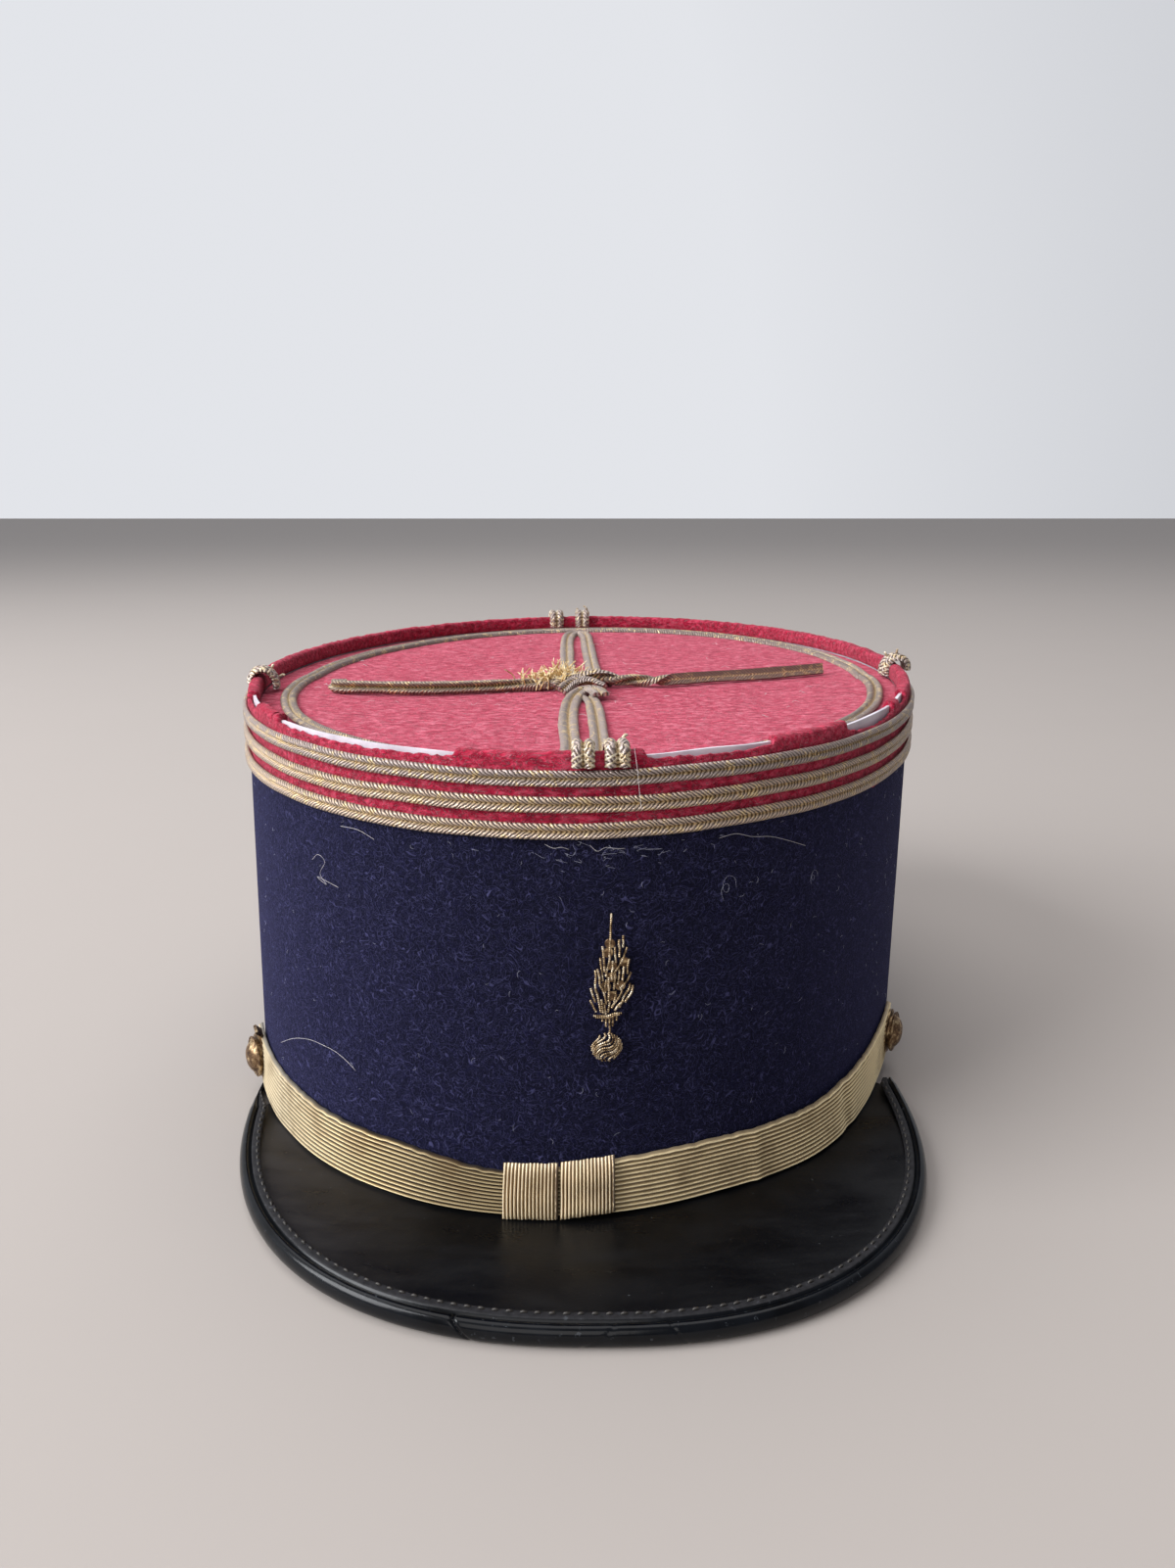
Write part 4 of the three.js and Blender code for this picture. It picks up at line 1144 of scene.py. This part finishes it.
class KEPI_OT_peak(bpy.types.Operator):
    """Patent leather peak, its rolled binding and the stitches on the ledge"""

    bl_idname = "kepi.peak"
    bl_label = "Peak"

    def execute(self, context):
        def plate(u, v):
            here, inward, roll, share = edge_at(0.035 + 0.95 * u)
            outer = here + inward * ((roll + 0.6) * share)[:, None]
            az = np.arctan2(outer[:, 1], outer[:, 0])
            inner_r = oval(BASE_A - 2, BASE_B - 2, az)
            outer_r = np.maximum(np.hypot(outer[:, 0], outer[:, 1]), inner_r + 1.2)
            across, lift = loop_of(v, [(0, 0, 0), (0.6, 1, 0), (0.63, 1, -1), (0.97, 0, -1), (1, 0, 0)])
            mid = np.minimum(np.maximum(inner_r + 5, inner_r + 0.3 * (outer_r - inner_r)), outer_r - 0.4)
            r = inner_r + (outer_r - inner_r) * across
            climb = np.clip((r - mid) / np.maximum(outer_r - mid, 0.5), 0, 1)
            high = PEAK_TOP + PEAK_RISE * np.clip((outer_r - mid) / 12, 0, 1) * climb**1.5
            x, y = r * np.cos(az), r * np.sin(az)
            ripple = 0.12 * np.sin(x * 0.16 + 1) * np.sin(y * 0.13) * np.sin(math.pi * across)
            return np.stack([x, y, high + ripple + lift * PEAK_THICK], -1)

        sheet = draped_grid("peak_leather", 260, 60, plate)
        finish_piece(sheet, scuffed_leather(), "patent_leather", "peak")

        # Section of the binding: shares across the roll and the ledge, and height over the ledge's top
        section = [(1, 1, 0.0), (1, 1, 0.36), (1, 0.88, 0.5), (1, 0.12, 0.5), (1, 0.0, 0.3), (0.93, 0, 0.05)]
        for turn in range(40, 371, 15):
            angle = math.radians(turn)
            height = ROLL_MIDDLE + ROLL_RADIUS * math.sin(angle) - LEDGE_TOP
            section.append((0.5 + 0.5 * math.cos(angle), 0, height))
        section += [(1, 0.05, -0.1), (1, 0.12, 0), (1, 1, 0.0)]
        table = np.array(section)
        flat = np.column_stack([table[:, 0] * 2.8 + table[:, 1] * LEDGE, table[:, 2]])
        run = np.r_[0, np.cumsum(np.hypot(*np.diff(flat, axis=0).T))]

        def binding(u, v):
            here, inward, roll, share = edge_at(u)
            in_roll, in_ledge, z = (np.interp(v, run / run[-1], table[:, k]) for k in range(3))
            z = z + LEDGE_TOP
            pinch = 0
            for at, wide, slant, depth in CRACKS:
                pinch = pinch + depth * np.exp(-(((u - at - slant * z) / wide) ** 2))
            thin = 1 - 0.14 * np.minimum(pinch, 2) * (in_ledge < 0.01)
            p = (in_roll - 0.5) * thin + 0.5
            p = p * roll + in_ledge * LEDGE
            z = ((z - ROLL_MIDDLE) * thin + ROLL_MIDDLE) * (0.5 + 0.5 * share)
            return np.column_stack([here + inward * (p * share)[:, None], z])

        def binding_uv(u, v):
            return u * EDGE_LENGTH, np.interp(v, run / run[-1], table[:, 1])

        edge = draped_grid("peak_binding_roll", 900, 60, binding, binding_uv)
        finish_piece(edge, varnished_binding(), "patent_leather", "peak_binding")

        here, inward, roll, share = edge_at(np.linspace(STITCH_FROM, STITCH_TO, 4000))
        line = here + inward * ((roll + 1.25) * share)[:, None]
        sewn = np.r_[0, np.cumsum(np.hypot(*np.diff(line, axis=0).T))]
        pitch = context.scene.kepi_sizes.stitch_pitch / MM
        stitches = []
        for k in range(int(sewn[-1] / pitch)):
            spots = np.interp([(k + f) * pitch for f in (0.2, 0.32, 0.5, 0.62)], sewn, np.arange(len(sewn)))
            heights = (3.92, 4.14, 4.14, 3.92)
            scale = 0.5 + 0.5 * share[int(spots[0])]
            stitches.append([(*line[int(i)], h * scale) for i, h in zip(spots, heights)])
        thread = wires("binding_stitches", stitches, STITCH_RADIUS)
        linen = plain_fibre("waxed_linen_thread", "#37332f", 0.45, "#1a1817")
        finish_piece(thread, linen, "patent_leather")
        return {"FINISHED"}


# Strap, slides and buttons


# Middles of the buttons on the wall: across, back and up
BUTTON_LEFT, BUTTON_RIGHT = (-80.5, -50, 9), (77.6, -40, 10.5)
# The strap runs a little past them, and its lower edge rises to them
STRAP_FROM = math.atan2(BUTTON_LEFT[1], BUTTON_LEFT[0]) + TURN - math.radians(3)
STRAP_TO = math.atan2(BUTTON_RIGHT[1], BUTTON_RIGHT[0]) + TURN + math.radians(3)
STRAP_LOW, RISE_LEFT, RISE_RIGHT = 2.1, 1.2, 2.6
# Height of the strap, its distance off the felt, and length in mm that its weft is counted over
STRAP_HEIGHT, STRAP_OUT, STRAP_LENGTH = 11.5, 0.5, 215
# Ribs of the strap and of the slides: count, depth and thickness
STRAP_RIBS, SLIDE_RIBS = (12, 0.6, 1.15), (15, 0.45, 1.25)
SLIDE_HEIGHT = 11.2
# Each slide's left and right edges, how far it is raised and how much it tilts
SLIDES = [("slide_left", -15.3, -4.9, 0.0, 0.2), ("slide_right", -4.5, 5.9, 0.3, 0.9)]
# Share of a ribbed section that is its face
LACE_FACE = 0.86
# Past this rib the slides' lace is frayed
FRAYED_RIB = 15.3


def strap_point(t, height, lift):
    """Point on the strap's face: t along, height share across, lift off its face."""
    az = STRAP_FROM + (STRAP_TO - STRAP_FROM) * t
    left, right = ease(0.13 - t, 0, 0.13), ease(t - 0.85, 0, 0.15)
    low = STRAP_LOW + RISE_LEFT * left + RISE_RIGHT * right
    sag = np.exp(-(((t - 0.41) / 0.07) ** 2))
    bulge = np.exp(-(((t - 0.74) / 0.09) ** 2))
    flare = 0.7 * (1 - left) * (1 - right)
    foot = STRAP_OUT + flare + 2.4 * bulge
    top = STRAP_OUT + 0.72 * bulge
    kink = 0.3 * np.exp(-(((t - 0.655) / 0.006) ** 2)) - 0.35 * np.exp(-(((t - 0.80) / 0.01) ** 2))
    tall = STRAP_HEIGHT - 2.7 * sag - 1.6 * bulge
    tall = tall + 0.16 * rough(t * 200, 41, 1.4) * (height > 0.9) + 0.2 * wander(t * 150, 44, 14)
    out = foot + (top - foot) * height + kink + lift + 0.15 * wander(t * 160, 42, 9)
    return wall(az, low + tall * height, out)


def ribs_section(v, ribs, depth, thick):
    """Closed section of ribbed lace: ribbed face, then a flat back; returns place, lift and rib phase."""
    face = v < LACE_FACE
    place = np.where(face, v / LACE_FACE, 1 - (v - LACE_FACE) / (1 - LACE_FACE))
    phase = place * ribs
    lift = np.where(face, thick + depth * (0.5 + 0.5 * np.cos(TURN * (phase + 0.5))) - depth, 0)
    edge = np.minimum(place, 1 - place)
    return place, lift * np.clip(edge / 0.01, 0.0, 1), phase + 0.5


class KEPI_OT_strap(bpy.types.Operator):
    """Ribbed gilt lace strap with its two folded slides"""

    bl_idname = "kepi.strap"
    bl_label = "Strap and slides"

    def execute(self, context):
        gold = [(0.0, "#0c0703"), (0.36, "#3d2912"), (0.56, "#bf9f66"), (1.0, "#f0d9a4")]
        bright = [(0.0, "#3a2814"), (0.25, "#977549"), (0.5, "#f0d3a2"), (1.0, "#fff0d0")]
        lace = gilt_lace("gilt_lace", gold, 0.5, 0.4)
        folded = gilt_lace("bright_gilt_lace", bright, 0.0, 0.1, FRAYED_RIB)

        def strap(u, v):
            place, lift, _ = ribs_section(v, *STRAP_RIBS)
            return strap_point(u, place, lift)

        def strap_uv(u, v):
            return u * STRAP_LENGTH, ribs_section(v, *STRAP_RIBS)[2]

        piece = draped_grid("gilt_lace_strap", 320, 210, strap, strap_uv)
        finish_piece(piece, lace, "lace", "chin_strap")

        for name, x0, x1, raise_by, tilt in SLIDES:

            def slide(u, v, x0=x0, x1=x1, raise_by=raise_by, tilt=tilt):
                place, lift, phase = ribs_section(v, *SLIDE_RIBS)
                az = front_az(x0 + (x1 - x0) * place) + TURN
                low = 2.0 + raise_by + tilt * place
                roll = 1 - np.abs(2 * u - 1) ** 5
                ends = 1 - 0.35 * np.abs(2 * place - 1) ** 6
                out = 1.85 + 1.3 * (1 - u) + lift * roll * ends + 0.15 * np.sin(9 * u + x0)
                ragged = 0.12 * rough(phase * 3 + 40, 47, 1.0) * (np.abs(u - 0.5) > 0.45)
                return wall(az, low + SLIDE_HEIGHT * u + ragged, out)

            def slide_uv(u, v):
                return u * SLIDE_HEIGHT, ribs_section(v, *SLIDE_RIBS)[2]

            part = draped_grid("folded_" + name, 40, 150, slide, slide_uv)
            finish_piece(part, folded, "lace", name)

        # The strap's tail stands up behind the left button and curls outwards
        seat = math.atan2(BUTTON_LEFT[1], BUTTON_LEFT[0]) + TURN
        strip = [(0, -2.2, 0), (0.45, 2.2, 0), (0.5, 2.2, 0.7), (0.95, -2.2, 0.7), (1, -2.2, 0)]

        def tail(u, v):
            across, lift = loop_of(v, strip)
            return wall(seat + across / 95, 8 + 8.2 * u, 0.9 + lift + 1.5 * ease(u, 0.78, 1))

        end = draped_grid("strap_tail", 24, 12, tail)
        finish_piece(end, aged_brass(), "lace")
        return {"FINISHED"}


# Radius of a button's base and its distance off the felt
BUTTON_RADIUS, BUTTON_OUT = 5.4 * MM, 1.6
# Steps from its base to its crown: each raises the rim, in metres, and changes its radius
BUTTON_STEPS = [
    (0.0005, 1.0), (0.0001, 0.94), (0.0001, 0.83), (0.0005, 1.0), (0.0001, 1.16), (0.0004, 1.02),
    (0.0002, 0.93), (-0.0003, 0.97), (0.0003, 0.96), (0.0001, 0.95), (-0.0002, 0.95), (0.0006, 0.9),
    (0.0005, 0.82), (0.0004, 0.7), (0.0001, 0.4),
]
# The relief on its dome: count of grains, their radius, the height of the middle one and the fall to the
# next, the turn from each to the next, and how far the second is from the middle
GRAINS, GRAIN_RADIUS, GRAIN_TOP, GRAIN_FALL = 14, 0.7 * MM, 3.1 * MM, 0.07 * MM
GRAIN_TURN, GRAIN_SPREAD = 2.4, 0.7 * MM


class KEPI_OT_buttons(bpy.types.Operator):
    """Stamped brass buttons: a stepped rim, a dome and a plain relief"""

    bl_idname = "kepi.buttons"
    bl_label = "Buttons"

    def execute(self, context):
        brass = aged_brass()
        for name, (x, y, z) in [("button_left", BUTTON_LEFT), ("button_right", BUTTON_RIGHT)]:
            az = math.atan2(y, x)
            seat = to_frame(wall(np.array(az), float(z), BUTTON_OUT))
            clear_selection()
            bpy.ops.mesh.primitive_circle_add(vertices=48, radius=BUTTON_RADIUS, fill_type="NGON")
            piece = context.object
            bpy.ops.object.mode_set(mode="EDIT")
            bpy.ops.mesh.select_all(action="SELECT")
            for rise, scale in BUTTON_STEPS:
                bpy.ops.mesh.extrude_region_move(TRANSFORM_OT_translate={"value": (0, 0, rise)})
                bpy.ops.transform.resize(value=(scale, scale, 1))
            bpy.ops.mesh.select_all(action="SELECT")
            bpy.ops.mesh.normals_make_consistent(inside=False)
            bpy.ops.object.mode_set(mode="OBJECT")
            for k in range(GRAINS):
                angle = k * GRAIN_TURN
                away = GRAIN_SPREAD * math.sqrt(k)
                spot = (away * math.cos(angle), away * math.sin(angle), GRAIN_TOP - k * GRAIN_FALL)
                clear_selection()
                bpy.ops.mesh.primitive_ico_sphere_add(subdivisions=2, radius=GRAIN_RADIUS, location=spot)
                grain = context.object
                grain.scale = (1.0, 0.55, 0.7)
                grain.rotation_euler = (0, 0, angle)
                piece.select_set(True)
                context.view_layer.objects.active = piece
                bpy.ops.object.join()
            piece = context.object
            select_only(piece)
            piece.name = "brass_" + name
            out = Vector((math.cos(az), math.sin(az), 0))
            piece.rotation_mode = "QUATERNION"
            piece.rotation_quaternion = out.to_track_quat("Z", "Y")
            piece.location = seat
            bpy.ops.object.transform_apply(location=True, rotation=True, scale=True)
            bpy.ops.object.shade_smooth_by_angle(angle=math.radians(40))
            finish_piece(piece, brass, "brass", name)
        return {"FINISHED"}


# Badge


# Wires of the flame, in tenths of a millimetre across and up from the ball's foot
FLAME = [
    [(44, 303), (43, 280), (42, 255), (41, 234), (40, 216)],
    [(67, 259), (67, 248), (66, 234)],
    [(59, 252), (58, 243), (60, 230), (59, 216)],
    [(51, 236), (51, 223), (53, 202)],
    [(75, 235), (70, 222), (65, 209), (57, 195), (49, 185)],
    [(26, 240), (28, 222), (29, 206), (30, 188)],
    [(22, 216), (23, 202), (25, 188), (27, 168)],
    [(41, 218), (38, 202), (34, 188), (33, 177)],
    [(16, 195), (20, 179), (21, 163), (27, 152)],
    [(12, 191), (13, 177), (12, 161), (14, 145)],
    [(79, 211), (76, 197), (75, 181)],
    [(68, 197), (67, 184), (65, 168)],
    [(60, 191), (59, 177), (56, 159)],
    [(51, 184), (50, 168), (48, 150)],
    [(38, 177), (38, 159), (39, 143), (38, 127)],
    [(83, 183), (76, 168), (67, 157), (61, 152)],
    [(21, 161), (27, 150), (31, 136), (34, 121)],
    [(12, 157), (16, 143), (19, 127), (23, 107)],
    [(3, 155), (7, 141), (12, 126)],
    [(2, 132), (7, 121), (14, 107)],
    [(86, 158), (83, 143), (73, 129), (71, 124)],
    [(81, 161), (78, 148), (69, 136), (65, 125), (59, 112)],
    [(61, 155), (64, 145), (57, 132), (48, 121), (44, 113)],
    [(68, 128), (57, 119), (50, 109)],
    [(41, 127), (39, 116), (37, 103)],
    [(29, 125), (31, 111), (33, 100)],
    [(24, 133), (25, 120), (27, 104)],
    [(34, 171), (31, 158), (32, 144)],
    [(52, 148), (51, 137), (49, 126)],
    [(46, 210), (46, 196), (44, 184), (44, 172)],
]
STEMS = [
    [(26, 97), (26, 86)],
    [(33, 97), (33, 75)],
    [(40, 97), (40, 75)],
    [(47, 97), (46, 75)],
    [(54, 97), (54, 85)],
]
TIES = [
    [(8, 101), (22, 100), (35, 99), (50, 103), (64, 103)],
    [(12, 98), (26, 97), (38, 96), (52, 100), (60, 101)],
]
LINK = [[(40, 75), (41, 68), (39, 57)]]
SPANGLES = [(41, 243), (37, 225), (45, 198), (44, 175), (33, 157), (45, 137), (70, 204), (61, 157)]
# Where the wires' places start on the band: across and up, in mm
BADGE_X, BADGE_Z = 1.0, 33.3
# The ball's middle and its half width and height
BALL_X, BALL_Z, BALL_HALF, BALL_TALL = 4.45, 36.8, 3.05, 2.95
# Depth of the coils on a wire, as a share of its radius
RIPPLE = 0.2
SPANGLE_RADIUS, SPANGLE_THICK = 1.05 * MM, 0.16 * MM


class KEPI_OT_badge(bpy.types.Operator):
    """Badge of wire purl and spangles: a flame over a ball"""

    bl_idname = "kepi.badge"
    bl_label = "Badge"

    def execute(self, context):
        radius = context.scene.kepi_sizes.purl_radius / MM
        purl = wire_purl()

        def laid(path, out):
            table = np.asarray(path, float) / 10
            return facing(BADGE_X + table[:, 0], BADGE_Z + table[:, 1], out)

        paths = [laid(path, 0.45 + 0.22 * (k % 3)) for k, path in enumerate(FLAME)]
        paths += [laid(path, 0.5) for path in STEMS + LINK]
        paths += [laid(path, 1.0) for path in TIES]
        flame = wires("badge_flame_purl", paths, radius, 2, RIPPLE)
        finish_piece(flame, purl, "gold_thread", "badge_flame")

        swirl = []
        for k in range(10):
            s = -0.87 + 1.74 * k / 9
            half = math.sqrt(1 - s * s) * 0.98
            rows = []
            for t in np.linspace(-1, 1, 9):
                x, y = t * half, s
                away = math.hypot(x, y)
                angle = 1.0 * away**1.6
                px = x * math.cos(angle) - y * math.sin(angle)
                py = x * math.sin(angle) + y * math.cos(angle)
                dome = 1.25 * math.sqrt(max(0.0, 1 - 0.92 * away * away))
                out = 0.35 + dome + 0.25 * (k % 2)
                rows.append(facing(BALL_X + BALL_HALF * px, BALL_Z + BALL_TALL * py, out))
            swirl.append(rows)
        ball = wires("badge_ball_purl", swirl, radius * 0.85, 2, RIPPLE)
        finish_piece(ball, purl, "gold_thread", "badge_ball")

        discs = []
        for x, z in SPANGLES:
            clear_selection()
            bpy.ops.mesh.primitive_cylinder_add(vertices=20, radius=SPANGLE_RADIUS, depth=SPANGLE_THICK)
            disc = context.object
            bpy.ops.object.mode_set(mode="EDIT")
            bpy.ops.mesh.select_all(action="SELECT")
            bpy.ops.mesh.inset(thickness=0.0002, depth=-0.00003)
            bpy.ops.mesh.bevel(offset=0.00003, segments=1)
            bpy.ops.object.mode_set(mode="OBJECT")
            disc.rotation_euler = (math.radians(90), 0, 0)
            disc.location = to_frame(facing(BADGE_X + x / 10, BADGE_Z + z / 10, 0.4))
            bpy.ops.object.transform_apply(location=True, rotation=True, scale=True)
            discs.append(disc)
        clear_selection()
        for disc in discs:
            disc.select_set(True)
        context.view_layer.objects.active = discs[0]
        bpy.ops.object.join()
        spangles = context.object
        spangles.name = "badge_spangles"
        finish_piece(spangles, aged_brass(), "gold_thread")
        return {"FINISHED"}


# Lint


# Counts of the lint all round the felt, of that under the lowest braid, and of hairs on the crown's top
FELT_LINT, BRAID_LINT, TOP_HAIRS = 420, 34, 70
LINT_RADIUS, HAIR_RADIUS = 0.022, 0.034
# Two tangles on the felt's front: across, up and size
TANGLES = [(30, 66, 2.0), (52, 64, 1.2)]
# Long hairs on the felt's front, and one that hangs over the rim
HAIRS = [
    [(-71.2, 20.3), (-65.1, 24.9), (-59.8, 27.3), (-55.7, 27.7), (-52.4, 27.4), (-49.5, 26.4), (-47.1, 25.3)],
    [(-58.5, 67.8), (-56.5, 69.5), (-54.6, 68.4), (-56.2, 65.4), (-54.6, 63.4), (-57.4, 64.4), (-51.3, 63.7)],
    [(-50.7, 76.7), (-46.1, 76.8), (-42.2, 75.5)],
    [(-7.6, 77.4), (-5.9, 76.7), (-4.4, 76.9), (-2.9, 76.4)],
    [(1.1, 77.2), (2.6, 76.0), (4.2, 76.7), (6.2, 76.3), (8.1, 76.2)],
    [(27.7, 76.6), (31.4, 77.1), (35.2, 76.0), (39.9, 75.2), (44.6, 73.5), (49.5, 71.4)],
]
HANGING_HAIR = [(9.3, -94, 96), (9.8, -95.4, 92.5), (10.2, -96.0, 88.5), (10.6, -96.4, 85)]


class KEPI_OT_lint(bpy.types.Operator):
    """Stray hairs and lint on the felt and the crown"""

    bl_idname = "kepi.lint"
    bl_label = "Lint"

    def execute(self, context):
        rng = random.Random(12)
        paths = []
        for _ in range(FELT_LINT):
            az, z = rng.uniform(0, TURN), rng.uniform(16, 80)
            long = rng.uniform(0.4, 1.5)
            heading, bend = rng.uniform(0, TURN), rng.uniform(-1.6, 1.6)
            path = []
            for k in range(4):
                t = k / 3 * long
                angle = heading + bend * k / 3
                out = 0.15 + 0.35 * rng.random()
                path.append(wall(np.array(az + t * math.cos(angle) / 92), z + t * math.sin(angle), out))
            paths.append(path)
        for x, z, size in TANGLES:
            path = []
            for k in range(14):
                angle = k * 0.8
                r = size * (0.5 + 0.5 * math.sin(k * 0.5 + 1))
                path.append(facing(x + r * math.cos(angle), z + r * 1.4 * math.sin(angle), 0.5))
            paths.append(path)
        for _ in range(BRAID_LINT):
            x = 6 + rng.gauss(0, 12)
            z = 75.6 + rng.gauss(0, 0.8)
            middle = facing(x + rng.gauss(0, 0.7), z + rng.gauss(0, 0.3), 0.6)
            last = facing(x + rng.gauss(0, 1.2), z + rng.gauss(0, 0.5), 0.4)
            paths.append([facing(x, z, 0.4), middle, last])
        lint = wires("stray_lint", paths, LINT_RADIUS, 0)
        finish_piece(lint, plain_fibre("pale_lint", "#b9bad0", 0.8, "#8f90a8"), "felt")

        strands = []
        for hair in HAIRS:
            strands.append([facing(x, z, 0.6 + 0.3 * math.sin(k)) for k, (x, z) in enumerate(hair)])
        strands.append(HANGING_HAIR)
        for _ in range(TOP_HAIRS):
            az = rng.uniform(0, TURN)
            r = rng.uniform(5, 70)
            x, y = r * math.cos(az), r * math.sin(az)
            turn = rng.uniform(0, TURN)
            span = rng.uniform(0.8, 2.6)
            strands.append(on_top([
                (x, y, 0.15),
                (x + span * math.cos(turn) * 0.5, y + span * math.sin(turn) * 0.5, 0.5),
                (x + span * math.cos(turn + 0.5), y + span * math.sin(turn + 0.5), 0.2),
            ]))
        hairs = wires("stray_hairs", strands, HAIR_RADIUS, 0)
        finish_piece(hairs, plain_fibre("white_hair", "#e6e2e2", 0.6, "#c9c0c4"), "felt")
        return {"FINISHED"}


# Stage


# Each light's name, place, target, size in metres, power in watts and tint
LIGHTS = [
    ("window_light", (-1.5, -0.6, 1.1), (0, 0, 0.05), 1.2, 50, (0.95, 0.97, 1.0)),
    ("ceiling_light", (-0.2, 0.5, 1.9), (0, 0, 0.05), 2.0, 20, (1.0, 0.98, 0.98)),
    ("front_fill", (-0.35, -1.8, 1.0), (0, 0, 0.06), 1.2, 8, (1.0, 0.97, 0.94)),
]
# The camera's place in mm about the head's axis, its tilt down and its roll, and its lens in mm
CAMERA, CAMERA_DOWN, CAMERA_ROLL, CAMERA_LENS = (0.17, -289.25, 140.27), 0.2565, -0.0026, 33.3


class KEPI_OT_stage(bpy.types.Operator):
    """Pale floor, pale room, soft light mostly from the left, and the camera"""

    bl_idname = "kepi.stage"
    bl_label = "Stage"

    def execute(self, context):
        scene = context.scene
        clear_selection()
        bpy.ops.mesh.primitive_plane_add(size=12, location=(0, 2, 0))
        floor = context.object
        floor.name = "pale_floor"
        floor.data.materials.append(matt_floor())

        for name, location, target, size, energy, tint in LIGHTS:
            clear_selection()
            bpy.ops.object.light_add(type="AREA", location=location)
            lamp = context.object
            lamp.name = name
            lamp.data.size = size
            lamp.data.energy = energy
            lamp.data.color = tint
            lamp.rotation_euler = (Vector(target) - Vector(location)).to_track_quat("-Z", "Y").to_euler()

        world = bpy.data.worlds.new("pale_room")
        world.use_nodes = True
        tree = world.node_tree
        # Bright behind and on the left, dim on the right and in front
        way = node(tree, "TexCoord").outputs["Generated"]
        towards = node(tree, "VectorMath", {0: way, 1: (-0.6, 0.8, 0.0)}, operation="DOT_PRODUCT")
        share = {"Value": towards.outputs["Value"], "From Min": -0.5, "From Max": 0.7}
        bright = node(tree, "MapRange", share)
        shade = node(tree, "ValToRGB", {0: bright}, [(0.0, "#75767d"), (1.0, "#e8eaef")])
        fill(tree, tree.nodes["Background"], {"Color": shade, "Strength": 0.95})
        scene.world = world
        scene.view_settings.view_transform = "Standard"

        clear_selection()
        bpy.ops.object.camera_add(location=to_frame(CAMERA))
        camera = context.object
        camera.name = "camera"
        camera.rotation_euler = (math.pi / 2 - CAMERA_DOWN, 0, CAMERA_ROLL)
        camera.data.sensor_fit = "HORIZONTAL"
        camera.data.sensor_width = 36
        camera.data.lens = CAMERA_LENS
        camera.data.clip_start = 0.01
        scene.camera = camera
        return {"FINISHED"}


class KEPI_PT_panel(bpy.types.Panel):
    """Sizes, colours and pieces of the kepi cap"""

    bl_label = "Kepi cap"
    bl_idname = "KEPI_PT_panel"
    bl_space_type = "VIEW_3D"
    bl_region_type = "UI"
    bl_category = "Kepi"

    def draw(self, context):
        for group in (context.scene.kepi_sizes, context.scene.kepi_colours):
            for key in group.bl_rna.properties.keys():
                if key not in ("rna_type", "name"):
                    self.layout.prop(group, key)
        for made in PIECES:
            self.layout.operator(made.bl_idname)


PIECES = (
    KEPI_OT_stage, KEPI_OT_band, KEPI_OT_crown, KEPI_OT_braids, KEPI_OT_cross, KEPI_OT_knots,
    KEPI_OT_peak, KEPI_OT_strap, KEPI_OT_buttons, KEPI_OT_badge, KEPI_OT_lint,
)
CLASSES = (KepiSizes, KepiColours, *PIECES, KEPI_PT_panel)


def register():
    for made in CLASSES:
        bpy.utils.register_class(made)
    bpy.types.Scene.kepi_sizes = bpy.props.PointerProperty(type=KepiSizes)
    bpy.types.Scene.kepi_colours = bpy.props.PointerProperty(type=KepiColours)


def unregister():
    del bpy.types.Scene.kepi_colours
    del bpy.types.Scene.kepi_sizes
    for made in reversed(CLASSES):
        bpy.utils.unregister_class(made)


def main():
    register()
    bpy.ops.kepi.stage()
    bpy.ops.kepi.band()
    bpy.ops.kepi.crown()
    bpy.ops.kepi.braids()
    bpy.ops.kepi.cross()
    bpy.ops.kepi.knots()
    bpy.ops.kepi.peak()
    bpy.ops.kepi.strap()
    bpy.ops.kepi.buttons()
    bpy.ops.kepi.badge()
    bpy.ops.kepi.lint()


if __name__ == "__main__":
    main()
